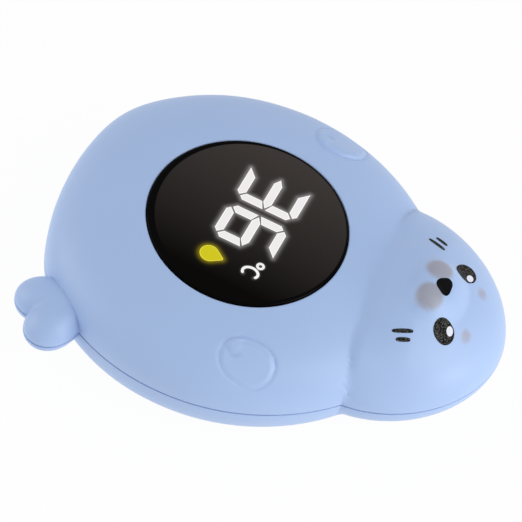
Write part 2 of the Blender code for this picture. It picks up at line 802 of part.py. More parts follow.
def display(block_finish, lit_finish, drop_finish):
    """The display block with its bars and signs standing on it."""
    low, high = BLOCK_TOP + FIT, BAR_TOP
    digits = {
        "tens": (TENS_X, digit_bars((True, False), (True, False))),
        "units": (TENS_X + DIGIT_PITCH, digit_bars((False, True), (False, False))),
    }
    shapes = []
    for digit, (x, bars) in digits.items():
        for letter, outline in bars.items():
            placed = on_display(outline, (x, DIGITS_Y))
            shapes.append(placed)
            name = f"{digit}_bar_{letter}"
            add_object(name, prism(name, placed, low, high), lit_finish)
    celsius = on_display(celsius_outline(), CELSIUS_AT)
    drop = on_display(drop_outline(), DROP_AT)
    shapes += [celsius, drop]
    add_object("celsius_sign", prism("celsius_sign", celsius, low, high), lit_finish)
    add_object("drop_light", prism("drop_light", drop, low, high), drop_finish)
    degree = on_display([DEGREE_AT])[0]
    ring_piece(
        "degree_ring", DEGREE_HOLE, DEGREE_RADIUS, low, high, lit_finish, (*degree, 0.0), SMALL_SIDES
    )
    flat = turned_points(np.concatenate(shapes), -DISPLAY_TURN)
    lowest, highest = flat.min(axis=0) - BLOCK_MARGIN, flat.max(axis=0) + BLOCK_MARGIN
    outline = rounded_rectangle((highest - lowest) / 2, BLOCK_CORNER)
    placed = on_display(outline, (highest + lowest) / 2)
    block = prism("display_block", placed, BLOCK_BASE, BLOCK_TOP)
    add_object("display_block", block, block_finish)


def circuit_board(finish, chip_finish):
    """A round board, cut round at the shell posts and drilled for its screws, with one chip below it."""
    disc = turned("circuit_board", [(BOARD_RADIUS, BOARD_BASE), (BOARD_RADIUS, BOARD_TOP)], WINDOW_SIDES)
    board = add_object("circuit_board", disc, finish)
    notch = prism_round(POST_RADIUS + 2 * FIT, BOARD_BASE - 1.0, BOARD_TOP + 1.0)
    hole = prism_round(BOARD_SCREW_RADIUS + FIT, BOARD_BASE - 1.0, BOARD_TOP + 1.0)
    tools = [(notch, at) for at in shell_screw_places()]
    tools += [(hole, at) for at in board_screw_places()]
    cut(board, "DIFFERENCE", joined("board_cuts", tools, finish))
    top = BOARD_BASE - FIT
    outline = rounded_rectangle((CHIP_SIDE / 2, CHIP_SIDE / 2), CHIP_CORNER, 1)
    chip = prism("controller_chip", outline, top - CHIP_THICK, top)
    add_object("controller_chip", chip, chip_finish, (*CHIP_AT, 0.0))


def screw(name, at, head_radius, head_thick, seat, radius, tip, finish):
    """A pan-head screw that points up, its head below the level it seats on."""
    edge = head_thick / 3
    base = seat - head_thick
    profile = [
        (head_radius - edge, base),
        (head_radius, base + edge),
        (head_radius, seat),
        (radius, seat),
        (radius, tip - radius),
        (radius * 0.4, tip),
    ]
    add_object(name, turned(name, profile, SMALL_SIDES), finish, at)


def screws(finish):
    """The screws of the board, the shells and the battery door."""
    seat = BOARD_BASE - FIT
    tip = BOARD_TOP + BOARD_SCREW_DEPTH
    for k, at in enumerate(board_screw_places(), 1):
        name = f"board_screw_{k}"
        screw(name, at, BOARD_HEAD_RADIUS, BOARD_HEAD_THICK, seat, BOARD_SCREW_RADIUS, tip, finish)
    seat = SHELL_HEAD_SINK + SHELL_HEAD_THICK
    tip = POST_BASE + SHELL_SCREW_DEPTH
    for k, at in enumerate(shell_screw_places(), 1):
        name = f"shell_screw_{k}"
        screw(name, at, SHELL_HEAD_RADIUS, SHELL_HEAD_THICK, seat, SHELL_SCREW_RADIUS, tip, finish)
    at = (0.0, -DOOR_SCREW_AT, 0.0)
    seat = DOOR_HEAD_SINK + DOOR_HEAD_THICK
    tip = BOX_BASE + DOOR_SCREW_DEPTH
    screw("door_screw", at, DOOR_HEAD_RADIUS, DOOR_HEAD_THICK, seat, DOOR_SCREW_RADIUS, tip, finish)


def battery_box(finish, seal_finish, door_finish):
    """The box that holds the cells, open below, the seal under its rim, and the door that closes it."""
    outer = rounded_rectangle(BOX_OUTER, BOX_CORNER + BOX_WALL)
    inner = rounded_rectangle(BOX_INNER, BOX_CORNER)
    loops = [
        np.column_stack([outline, np.full(len(outline), z)])
        for outline, z in ((outer, BOX_TOP), (outer, BOX_BASE), (inner, BOX_BASE), (inner, BOX_CEILING))
    ]
    box = add_object("battery_box", loft("battery_box", loops), finish)
    lug_at = (0.0, -DOOR_SCREW_AT, 0.0)
    lug = prism_round(LUG_RADIUS, BOX_BASE, LUG_TOP)
    lug_hole = prism_round(DOOR_SCREW_RADIUS + FIT, BOX_BASE - 1.0, BOX_BASE + DOOR_SCREW_DEPTH + FIT)
    slot_half = (CONTACT_TAB / 2 + FIT, CONTACT_THICK / 2 + FIT)
    slot = prism("slot", rounded_rectangle(slot_half, FIT, 1), BOX_CEILING - 1.0, BOX_TOP + 1.0)
    y = -(CONTACT_Y + CONTACT_THICK / 2)
    cut(box, "UNION", joined("box_lug", [(lug, lug_at)], finish))
    tools = [(lug_hole, lug_at), (slot, (CELL_X, y, 0.0)), (slot, (-CELL_X, y, 0.0))]
    cut(box, "DIFFERENCE", joined("box_holes", tools, finish))

    low, high = FLOOR + FIT, FLOOR + FIT + BOX_SEAL_THICK
    loops = [
        np.column_stack([outline, np.full(len(outline), z)])
        for outline, z in ((outer, low), (outer, high), (inner, high), (inner, low))
    ]
    add_object("battery_seal", loft("battery_seal", loops, wrap=True), seal_finish)

    slab = prism("battery_door", door_outline(FIT), 0.0, FLOOR)
    door = add_object("battery_door", slab, door_finish)
    through = prism_round(DOOR_SCREW_RADIUS + FIT, -1.0, FLOOR + 1.0)
    sink = prism_round(DOOR_HEAD_RADIUS + FIT, -1.0, DOOR_HEAD_SINK + DOOR_HEAD_THICK + FIT)
    cut(door, "DIFFERENCE", joined("door_hole_cutter", [(through, lug_at)], finish))
    cut(door, "DIFFERENCE", joined("door_sink_cutter", [(sink, lug_at)], finish))


def cells(finish):
    """Two round cells, side by side and end for end."""
    flat = CELL_LENGTH - NUB_LENGTH
    profile = [
        (CELL_RADIUS - CELL_BEVEL, 0.0),
        (CELL_RADIUS, CELL_BEVEL),
        (CELL_RADIUS, flat - CELL_BEVEL),
        (CELL_RADIUS - CELL_BEVEL, flat),
        (NUB_RADIUS, flat),
        (NUB_RADIUS, CELL_LENGTH),
    ]
    for k, side in ((1, 1), (2, -1)):
        name = f"battery_cell_{k}"
        at = (-side * CELL_X, side * (CELL_END - CELL_LENGTH), CELL_Z)
        made = add_object(name, turned(name, profile), finish, at)
        made.rotation_euler = (-side * math.pi / 2, 0.0, 0.0)


def contacts(finish):
    """The strip that links the two cells, the two end contacts with their tabs, and a spring on each cell."""
    y = CONTACT_Y
    base = CELL_Z - CONTACT_HEIGHT / 2
    top = CELL_Z + CONTACT_HEIGHT / 2
    far = y + CONTACT_THICK
    wide = CELL_X + CONTACT_WIDTH / 2
    link = prism("contact_link", [(-wide, y), (wide, y), (wide, far), (-wide, far)], base, top)
    add_object("contact_link", link, finish, smooth=0.0)
    half, tab = CONTACT_WIDTH / 2, CONTACT_TAB / 2
    right_side = [(half, base), (half, top), (tab, top), (tab, TAB_TOP)]
    outline = right_side + [(-u, v) for u, v in right_side[::-1]]
    for name, x in (("contact_plus", CELL_X), ("contact_minus", -CELL_X)):
        loops = [np.array([(x + u, depth, v) for u, v in outline]) for depth in (-y, -far)]
        add_object(name, loft(name, loops), finish, smooth=0.0)
    share = np.linspace(0, 1, SPRING_TURNS * SMALL_SIDES + 1)
    turns = share * SPRING_TURNS * 2 * math.pi
    free = SPRING_SPACE - 2 * SPRING_WIRE
    radius = SPRING_RADIUS - (SPRING_RADIUS - SPRING_END_RADIUS) * share
    x, z = radius * np.cos(turns), CELL_Z + radius * np.sin(turns)
    for k, side in ((1, -1), (2, 1)):
        along = side * (CELL_END - SPRING_WIRE - free * share)
        path = np.column_stack([side * CELL_X + x, along, z])
        tube(f"battery_spring_{k}", path, SPRING_WIRE, 1, finish)


def tube(name, path, radius, fineness, finish):
    """A round wire along a path of points in millimetres, with closed ends."""
    curve = bpy.data.curves.new(name, "CURVE")
    curve.dimensions = "3D"
    spline = curve.splines.new("POLY")
    spline.points.add(len(path) - 1)
    spline.points.foreach_set("co", np.column_stack([path * MM, np.ones(len(path))]).ravel())
    curve.bevel_depth = radius * MM
    curve.bevel_resolution = fineness
    curve.use_fill_caps = True
    curve.materials.append(finish)
    made = bpy.data.objects.new(name, curve)
    bpy.context.scene.collection.objects.link(made)


def smooth_path(points, count):
    """Points along a smooth curve through the given ones: a blend of cubic pieces through each four."""
    points = np.asarray(points, float)
    ends = np.concatenate([[2 * points[0] - points[1]], points, [2 * points[-1] - points[-2]]])
    place = np.linspace(0, len(points) - 1 - 1e-9, count)
    piece = place.astype(int)
    t = (place - piece)[:, None]
    p0, p1, p2, p3 = (ends[piece + k] for k in range(4))
    slope = (p2 - p0) / 2
    bend = p0 - 2.5 * p1 + 2 * p2 - p3 / 2
    twist = (3 * (p1 - p2) + p3 - p0) / 2
    return p1 + slope * t + bend * t**2 + twist * t**3


def sensor(steel, seal_finish, bead_finish):
    """A steel cup let through the floor, its seal, and the bead inside it that measures."""
    base = SENSOR_SINK
    seal_low = FLOOR + FIT
    flange = seal_low + SENSOR_SEAL_THICK + FIT
    inside = SENSOR_RADIUS - SENSOR_WALL
    profile = [
        (0.4, base),
        (SENSOR_RADIUS - 0.8, base),
        (SENSOR_RADIUS, base + 0.6),
        (SENSOR_RADIUS, flange),
        (SENSOR_FLANGE, flange),
        (SENSOR_FLANGE, flange + SENSOR_FLANGE_THICK),
        (SENSOR_RADIUS, flange + SENSOR_FLANGE_THICK),
        (SENSOR_RADIUS, SENSOR_TOP),
        (inside, SENSOR_TOP),
        (inside, base + SENSOR_WALL + 0.5),
        (inside - 0.6, base + SENSOR_WALL),
        (0.4, base + SENSOR_WALL),
    ]
    add_object("sensor_cup", turned("sensor_cup", profile), steel, (*SENSOR_AT, 0.0))
    inner = SENSOR_RADIUS + FIT
    seal_top = seal_low + SENSOR_SEAL_THICK
    at = (*SENSOR_AT, 0.0)
    ring_piece("sensor_seal", inner, SENSOR_FLANGE, seal_low, seal_top, seal_finish, at)
    bottom = base + SENSOR_WALL + FIT
    rise = np.linspace(-math.pi / 2, math.pi / 2, 9)[1:-1]
    bead = [(BEAD_RADIUS * math.cos(a), bottom + BEAD_RADIUS * (1 + math.sin(a))) for a in rise]
    add_object("thermistor", turned("thermistor", bead, SMALL_SIDES), bead_finish, at)


def water_contacts(steel):
    """Two steel pins let through the floor, each with a flange inside."""
    low = FLOOR + FIT
    profile = [
        (PIN_RADIUS - PIN_BEVEL, SENSOR_SINK),
        (PIN_RADIUS, SENSOR_SINK + PIN_BEVEL),
        (PIN_RADIUS, low),
        (PIN_FLANGE, low),
        (PIN_FLANGE, low + PIN_FLANGE_THICK),
        (PIN_RADIUS, low + PIN_FLANGE_THICK),
        (PIN_RADIUS, PIN_TOP),
    ]
    for k, at in enumerate(pin_places(), 1):
        name = f"water_contact_{k}"
        add_object(name, turned(name, profile, SMALL_SIDES), steel, at)


def leads(plus_finish, minus_finish, plain_finish):
    """The short wires up to the board from the cells' contacts, the sensor and the water contacts."""
    board = BOARD_BASE - FIT
    low, high = TAB_TOP + FIT + LEAD_RADIUS, board - LEAD_RADIUS
    y = -(CONTACT_Y + CONTACT_THICK / 2)
    for name, x, finish in (
        ("battery_lead_plus", CELL_X, plus_finish),
        ("battery_lead_minus", -CELL_X, minus_finish),
    ):
        route = [
            (x, y - LEAD_OVERLAP, low),
            (x, y + LEAD_BEND, low + LEAD_BEND_RISE),
            (x, LEAD_FROM_EDGE - BOARD_RADIUS, high),
        ]
        tube(name, smooth_path(route, 9), LEAD_RADIUS, 2, finish)

    x, y = SENSOR_AT
    bead_top = SENSOR_SINK + SENSOR_WALL + FIT + 2 * BEAD_RADIUS
    for k, side in ((1, -1), (2, 1)):
        start = x + side * LEAD_SPACING / 2
        end = x + SENSOR_LEAD_SHIFT + side * LEAD_SPACING
        route = [
            (start, y, bead_top + FIT),
            (start, y, SENSOR_TOP),
            ((start + end) / 2, y, (SENSOR_TOP + board) / 2),
            (end, y, board),
        ]
        tube(f"sensor_lead_{k}", smooth_path(route, 14), SENSOR_LEAD_RADIUS, 2, plain_finish)

    for k, (x, y, _) in enumerate(pin_places(), 1):
        route = [
            (x, y, PIN_TOP + FIT),
            (x + PIN_LEAD_SWAY[0], y, PIN_TOP + PIN_LEAD_BENDS[0]),
            (x + PIN_LEAD_SWAY[1], y, board - PIN_LEAD_BENDS[1]),
            (x, y, board),
        ]
        tube(f"contact_lead_{k}", smooth_path(route, 12), LEAD_RADIUS, 2, plain_finish)


def main():
    for old in list(bpy.data.objects):
        bpy.data.objects.remove(old, do_unlink=True)

    blue = material("blue_soft_touch_plastic", (0.38, 0.51, 0.78), 0.55)
    black_gloss = material("black_window_acrylic", (0.012, 0.010, 0.009), 0.12)
    black = material("black_moulded_plastic", (0.02, 0.02, 0.02), 0.5)
    lit = material("white_diffuser", (0.85, 0.84, 0.86), 0.4)
    yellow = material("yellow_diffuser", (0.72, 0.62, 0.02), 0.4)
    board = material("green_board_laminate", (0.02, 0.16, 0.06), 0.45)
    steel = material("stainless_steel", (0.6, 0.6, 0.6), 0.28, 1.0)
    plated = material("nickel_plated_steel", (0.65, 0.63, 0.58), 0.3, 1.0)
    silicone = material("grey_silicone", (0.45, 0.47, 0.5), 0.6)
    wrap = material("cell_wrap", (0.05, 0.12, 0.10), 0.35)
    bead = material("epoxy_bead", (0.03, 0.03, 0.03), 0.35)
    red = material("red_wire_sleeve", (0.5, 0.02, 0.02), 0.5)
    dark = material("black_wire_sleeve", (0.02, 0.02, 0.02), 0.5)
    white = material("white_wire_sleeve", (0.7, 0.7, 0.7), 0.5)

    upper_shell(blue)
    lower_shell(blue)
    parting_seal(silicone)
    window(black_gloss)
    gasket(silicone)
    display(black, lit, yellow)
    circuit_board(board, black)
    screws(steel)
    battery_box(black, silicone, blue)
    cells(wrap)
    contacts(plated)
    sensor(steel, silicone, bead)
    water_contacts(steel)
    leads(red, dark, white)


main()
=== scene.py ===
"""Looks of a bath thermometer shaped like a seal on its back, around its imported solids.

Frame: the origin is on the rest plane below the centre of the display, X to the reader's right,
Y towards the head and Z up. Shapes below are worked out in millimetres and put into meshes in metres.
"""

import json
import math

import bmesh
import bpy
import numpy as np
from mathutils import Matrix, Vector


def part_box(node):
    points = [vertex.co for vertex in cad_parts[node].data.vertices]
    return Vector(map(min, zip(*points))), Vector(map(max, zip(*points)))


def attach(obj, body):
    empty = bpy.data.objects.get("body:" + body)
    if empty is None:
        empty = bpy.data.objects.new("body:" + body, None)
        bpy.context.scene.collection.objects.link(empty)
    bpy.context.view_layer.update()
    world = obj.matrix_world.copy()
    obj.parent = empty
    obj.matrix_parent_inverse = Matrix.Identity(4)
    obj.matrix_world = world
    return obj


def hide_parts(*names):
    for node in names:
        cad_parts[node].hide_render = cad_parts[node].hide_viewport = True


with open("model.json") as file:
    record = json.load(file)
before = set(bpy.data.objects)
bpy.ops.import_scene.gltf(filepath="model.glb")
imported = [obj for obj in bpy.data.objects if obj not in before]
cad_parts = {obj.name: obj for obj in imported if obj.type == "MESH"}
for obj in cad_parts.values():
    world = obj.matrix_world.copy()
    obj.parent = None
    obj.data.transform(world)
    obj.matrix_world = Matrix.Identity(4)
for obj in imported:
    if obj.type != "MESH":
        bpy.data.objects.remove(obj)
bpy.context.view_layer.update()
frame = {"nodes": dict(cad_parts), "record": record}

MM = 0.001
TAU = 2 * math.pi
QUARTER = np.linspace(0, math.pi / 2, 5)

# Camera: where it stands, its turn about the view, and the pixel at which it shows a point
CAMERA_DISTANCE = 700.0
CAMERA_ELEVATION = 52.277
CAMERA_BEARING = 6.923
CAMERA_ROLL = 15.432
VIEW_POINT = (0.0, 0.0, 26.5)
VIEW_POINT_AT = (248.164, 221.271)
IMAGE_SIZE = 522
PIXELS_PER_MM = 4.661

# Light: the surround's strength at the horizon and overhead, the floor's as light and as seen,
# and soft boxes with their places and sizes in millimetres and their power in watts
HORIZON_LIGHT, ZENITH_LIGHT = 0.68, 0.38
FLOOR_LIGHT, FLOOR_SEEN = 1.0, 0.96
FLOOR_HALF, FLOOR_LEVEL = 1500.0, -0.2
SOFTBOXES = (
    ("key_softbox", (40.0, 460.0, 500.0), 380.0, 1.5),
    ("head_softbox", (120.0, 610.0, 150.0), 240.0, 1.0),
    ("fill_softbox", (60.0, -560.0, 260.0), 420.0, 1.05),
)
SOFTBOX_AIM = (0.0, 0.0, 10.0)

# Sizes shared with the solids
FIT = 0.3
SEAM_Z = 13.3
WALL = 2.0
FLOOR = 2.0
UPPER_RIM = SEAM_Z + FIT / 2
LOWER_RIM = SEAM_Z - FIT / 2
BODY = dict(at=0.0, wide=40.7, up=45.2, down=41.1, power_up=1.91, power_down=2.15, swell=0.022)
HEAD = dict(at=32.9, wide=27.0, up=28.2, down=7.0, power_up=1.854, power_down=1.854, swell=0.0)
CORNER_ANGLE, CORNER_SPREAD = 32.4, 14.3
BODY_RISE, BODY_RISE_POWERS, BODY_FLAT, FLOOR_FLAT = 13.6, (3.0, 2.8), 0.657, 0.72
HEAD_RISE, HEAD_RISE_POWERS, HEAD_DEPTH, HEAD_FLAT = 15.9, (1.95, 2.0), 7.6, 0.70
UNDER_POWERS = (2.0, 2.28)
NECK_AT, NECK_BOW, NECK_LENGTH, NECK_POWER = 29.0, 0.0065, 12.0, 1.6
NECK_WIDTH, NECK_FADE, NECK_HOLD = 24.0, 13.0, 5.0
TAIL_LOBES = (((29.2, -33.7), -75.0), ((34.2, -30.3), -25.0))
TAIL_HALF, TAIL_STRETCH = (6.8, 5.4), 2.2
TAIL_RISE, TAIL_DEPTH, TAIL_POWER, TAIL_ROOT = 4.4, 3.0, 2.1, 1.6
TAIL_RISE_POWERS, TAIL_UNDER_POWERS = (2.2, 1.9), (4.0, 2.4)
TAIL_BLEND, TAIL_FADE = 1.4, 3.0
APERTURE, SEAT_WIDTH, SEAT_RING, SEAT_BASE, SEAT_TOP = 22.12, 2.0, 24.5, 22.2, 23.7
WINDOW_RADIUS, WINDOW_TOP, WINDOW_THICK = 22.0, 26.5, 1.6
LIP_DEPTH = 1.2

# Snout: a hill, a cheek on each side and a groove between them from one y to another
SNOUT_AT, SNOUT_HALF, SNOUT_RISE = (0.0, 43.4), (9.6, 7.4), 2.0
CHEEK_AT, CHEEK_HALF, CHEEK_RISE = (4.0, 42.3), (3.9, 3.7), 0.35
PHILTRUM_WIDE, PHILTRUM_DEEP = 0.8, 0.3
PHILTRUM_FROM, PHILTRUM_FROM_FADE, PHILTRUM_TO, PHILTRUM_TO_FADE = 42.2, 1.6, 37.6, 2.0

# Flipper: two ovals. A line follows an oval at a gauge, with a half width in the same measure
PALM_AT, PALM_HALF, PALM_POWER, PALM_EDGE = (32.0, 11.5), (4.6, 6.05), 2.2, 0.28
PALM_LOW, PALM_LIFT, PALM_LIFT_TO, PALM_LIFT_OVER = 0.08, 0.42, 33.5, 5.0
LIP_LINE, LIP_RISE = (0.86, 0.07), 0.11
GROOVE_LINE, GROOVE_DEPTH = (1.0, 0.055), 0.24
FOLD_LINE, FOLD_DEPTH, FOLD_ENDS, FOLD_FADES = (0.72, 0.06), 0.2, (30.2, 7.5), (0.8, 2.0)
THUMB_AT, THUMB_HALF, THUMB_TURN = (29.9, 7.8), (2.2, 1.95), 35.0
THUMB_EDGE, THUMB_RISE = 0.6, 0.14
CURL_LINE, CURL_DEPTH, CURL_FROM, CURL_FADE = (1.05, 0.17), 0.36, 21.2, 2.0
CURL_INSIDE, CURL_INSIDE_FADE = 1.02, 0.15

# Fineness of the skins: points around, and loops with how closely they pack towards the rim
AROUND, AROUND_TAIL = 560, 160
UPPER_LOOPS, UPPER_INSIDE_LOOPS = (120, 1.9), (12, 2.8)
LOWER_LOOPS, LOWER_INSIDE_LOOPS = (90, 2.2), (14, 2.2)
TAIL_LOOPS = (60, 2.0)
RAY_STEP = 0.5

# Rounding of the edges, how far each loop stays off the one outside it, and the painted shade along the
# parting line
EDGE_ROUND = 0.35
RIM_ROUND = 0.16
RIM_CLEAR = 0.0005
SEAM_SHADE_END, SEAM_SHADE_FADE = 1.6, 0.6 * RIM_ROUND
SMOOTH_ANGLE = 40.0

# Printed spots: place, half sizes, and where along the oval's gauge they end and over how much they fade
MUZZLE = ((3.8, 42.1), (3.15, 3.1), 1.15, 0.4)
BROW = ((6.1, 52.35), (1.45, 1.15), 1.3, 0.8)


# Shapes

def ease(t):
    """A smooth step, 3 t^2 - 2 t^3, held at 0 and 1 outside."""
    t = np.clip(t, 0, 1)
    return t * t * (3 - 2 * t)


def bell(value, at, wide):
    """1 at one value and less to both sides: exp(-((v - at) / wide) ** 2)."""
    return np.exp(-(((value - at) / wide) ** 2))


def lobe_gauge(x, y, form, inset=0.0):
    """1 on the outline of a form and less inside: (|x / a| ** p + |y / b| ** p) ** (1 / p)."""
    dy = y - form["at"]
    upper = dy > 0
    along = np.where(upper, form["up"], form["down"]) - inset
    power = np.where(upper, form["power_up"], form["power_down"])
    value = ((np.abs(x) / (form["wide"] - inset)) ** power + (np.abs(dy) / along) ** power) ** (1 / power)
    bearing = np.degrees(np.arctan2(np.abs(x), -dy))
    return value / (1 + form["swell"] * bell(bearing, CORNER_ANGLE, CORNER_SPREAD))


def reach(angle, inside, far=90.0, halvings=24):
    """How far a ray from the middle stays inside: the last step that does, then halved again and again."""
    steps = np.arange(0.0, far, RAY_STEP)
    cos, sin = np.cos(angle), np.sin(angle)
    within = inside(steps * cos[:, None], steps * sin[:, None])
    low = steps[len(steps) - 1 - within[:, ::-1].argmax(axis=1)]
    high = low + RAY_STEP
    for _ in range(halvings):
        middle = (low + high) / 2
        ok = inside(middle * cos, middle * sin)
        low, high = np.where(ok, middle, low), np.where(ok, high, middle)
    return low


def in_plan(inset=0.0, forms=(BODY, HEAD)):
    """A test for being inside the outline of the body or the head, drawn in by inset."""
    return lambda x, y: np.minimum.reduce([lobe_gauge(x, y, form, inset) for form in forms]) < 1


def bearings(count, fine_count=7200):
    """Angles evenly spaced along the outline, with one just before each notch between body and head."""
    fine = np.arange(fine_count) * TAU / fine_count
    each = np.array([reach(fine, in_plan(0.0, (form,))) for form in (BODY, HEAD)])
    radius = each.max(axis=0)
    x, y = radius * np.cos(fine), radius * np.sin(fine)
    length = np.concatenate([[0.0], np.cumsum(np.hypot(np.roll(x, -1) - x, np.roll(y, -1) - y))])
    angle = np.interp(np.arange(count) * length[-1] / count, length, np.append(fine, TAU))
    owner = each.argmax(axis=0)
    for k in np.nonzero(owner != np.roll(owner, 1))[0]:
        angle[np.abs(angle - fine[k]).argmin()] = fine[k] - TAU / fine_count / 2
    return np.sort(angle)


def dome(value, powers):
    """(1 - v ** m) ** (1 / n): 1 in the middle of a form, 0 and upright at its outline."""
    return np.clip(1 - np.clip(value, 0, 1) ** powers[0], 0, 1) ** (1 / powers[1])


def soft_max(a, b, blend, fade):
    """The larger of two heights with a parabola across the valley between them, which fades near zero."""
    top = np.maximum(a, b)
    width = np.maximum(blend * np.clip(top / fade, 0, 1), 1e-6)
    near = np.clip(1 - np.abs(a - b) / width, 0, 1)
    return top + near * near * width / 4


def turned_frame(x, y, at, turn):
    """Coordinates along and across a direction, from a middle point."""
    cos, sin = math.cos(math.radians(turn)), math.sin(math.radians(turn))
    dx, dy = x - at[0], y - at[1]
    return dx * cos + dy * sin, dy * cos - dx * sin


def oval(x, y, at, half, turn=0.0, power=2.0):
    """Distance from an oval's middle over its half sizes: 1 on its line."""
    u, v = turned_frame(x, y, at, turn)
    return ((np.abs(u) / half[0]) ** power + (np.abs(v) / half[1]) ** power) ** (1 / power)


def flipper(x, y):
    """A mitten on each side: a palm that lifts towards the window in a fine groove, and a curled thumb."""
    side = np.abs(x)
    palm = oval(side, y, PALM_AT, PALM_HALF, 0.0, PALM_POWER)
    thumb = oval(side, y, THUMB_AT, THUMB_HALF, THUMB_TURN)
    lift = PALM_LOW + PALM_LIFT * ease((PALM_LIFT_TO - side) / PALM_LIFT_OVER)
    plate = lift * ease((1.0 - palm) / PALM_EDGE) + LIP_RISE * bell(palm, *LIP_LINE)
    groove = GROOVE_DEPTH * bell(palm, *GROOVE_LINE)
    fold = FOLD_DEPTH * bell(palm, *FOLD_LINE)
    fold = fold * ease((FOLD_ENDS[0] - side) / FOLD_FADES[0]) * ease((y - FOLD_ENDS[1]) / FOLD_FADES[1])
    tip = THUMB_RISE * ease((1.0 - thumb) / THUMB_EDGE)
    curl = CURL_DEPTH * bell(thumb, *CURL_LINE) * ease((side - y - CURL_FROM) / CURL_FADE)
    curl = curl * ease((CURL_INSIDE - palm) / CURL_INSIDE_FADE)
    return plate + tip - groove - fold - curl


def snout(x, y):
    """A low hill with a groove down its middle below the nose, and two soft cheeks."""
    hill = ease(1 - oval(x, y, SNOUT_AT, SNOUT_HALF) ** 2)
    cheek = ease(1 - oval(np.abs(x), y, CHEEK_AT, CHEEK_HALF) ** 2)
    groove = bell(x, 0.0, PHILTRUM_WIDE) * ease((PHILTRUM_FROM - y) / PHILTRUM_FROM_FADE)
    groove = groove * ease((y - PHILTRUM_TO) / PHILTRUM_TO_FADE)
    return SNOUT_RISE * hill + CHEEK_RISE * cheek - PHILTRUM_DEEP * groove * hill


def neck(x, y):
    """Share of the head in the shape: it grows from the crease behind the face, and is 1 at the sides."""
    along = np.clip((y - NECK_AT - NECK_BOW * x * x) / NECK_LENGTH, 0, 1)
    return 1 - ease((NECK_WIDTH - np.abs(x)) / NECK_FADE) * (1 - along) ** NECK_POWER


def skin(x, y, inset=0.0):
    """Level of the upper skin over body and head, with the raised forms, or of the wall's inside."""
    body = (BODY_RISE - inset) * dome(lobe_gauge(x, y, BODY, inset), BODY_RISE_POWERS)
    head = (HEAD_RISE - inset) * dome(lobe_gauge(x, y, HEAD, inset), HEAD_RISE_POWERS)
    rise = np.maximum(head - body, 0)
    height = body + rise - (1 - neck(x, y)) * NECK_HOLD * np.tanh(rise / NECK_HOLD)
    return UPPER_RIM + (height if inset else height + snout(x, y) + flipper(x, y))


def under_skin(x, y, inset=0.0):
    """Level of the lower skin, domes that start from a flat over the middle, or of the wall's inside."""
    floor = FLOOR if inset else 0.0
    flat = FLOOR_FLAT if inset else BODY_FLAT
    body = (lobe_gauge(x, y, BODY, inset) - flat) / (1 - flat)
    head = (lobe_gauge(x, y, HEAD, inset) - HEAD_FLAT) / (1 - HEAD_FLAT)
    deep = np.maximum((LOWER_RIM - floor) * dome(body, UNDER_POWERS), 0)
    return LOWER_RIM - np.maximum(deep, (HEAD_DEPTH - floor) * dome(head, UNDER_POWERS))


def tail_lobe(x, y, at, turn):
    """1 on the line of a tail lobe: an oval whose half towards the body is stretched."""
    u, v = turned_frame(x, y, at, turn)
    u = np.where(u < 0, u / TAIL_STRETCH, u) / TAIL_HALF[0]
    return (np.abs(u) ** TAIL_POWER + np.abs(v / TAIL_HALF[1]) ** TAIL_POWER) ** (1 / TAIL_POWER)


def tail_height(x, y, rise, powers):
    """Height of the two tail lobes, each a dome, with a groove between them that fades out at the root."""
    each = [rise * dome(tail_lobe(x, y, at, turn), powers) for at, turn in TAIL_LOBES]
    return soft_max(*each, TAIL_BLEND, TAIL_FADE)


# Meshes

def placed(name, data):
    """A new object in the scene, at the origin."""
    made = bpy.data.objects.new(name, data)
    bpy.context.scene.collection.objects.link(made)
    return made


def grid_faces(rows, columns, wrap_rows=False):
    """Quads of a grid whose columns close round: point (i, j) is i * columns + j."""
    i = np.arange(rows if wrap_rows else rows - 1)[:, None]
    j = np.arange(columns)[None, :]
    k, l = (i + 1) % rows * columns, (j + 1) % columns
    i = i * columns
    return np.stack([i + j, i + l, k + l, k + j], axis=-1).reshape(-1, 4)


def volume_of(points, quads, triangles):
    """Signed volume from the faces: a sixth of the sum of a . (b x c)."""
    parts = [quads[:, [0, 1, 2]], quads[:, [0, 2, 3]], triangles]
    faces = np.concatenate([part.reshape(-1, 3) for part in parts])
    a, b, c = (points[faces[:, k]] for k in range(3))
    return (a * np.cross(b, c)).sum() / 6


def fill_mesh(mesh, points, quads, triangles):
    """Puts points, quads and triangles into a mesh as whole arrays, turned to face outwards."""
    if volume_of(points, quads, triangles) < 0:
        quads, triangles = quads[:, ::-1], triangles[:, ::-1]
    mesh.vertices.add(len(points))
    mesh.vertices.foreach_set("co", points.astype(np.float32).ravel())
    corners = np.concatenate([quads.ravel(), triangles.ravel()]).astype(np.int32)
    sizes = np.concatenate([np.full(len(quads), 4), np.full(len(triangles), 3)])
    mesh.loops.add(len(corners))
    mesh.loops.foreach_set("vertex_index", corners)
    mesh.polygons.add(len(sizes))
    mesh.polygons.foreach_set("loop_start", (np.cumsum(sizes) - sizes).astype(np.int32))
    mesh.update(calc_edges=True)
    mesh.validate()


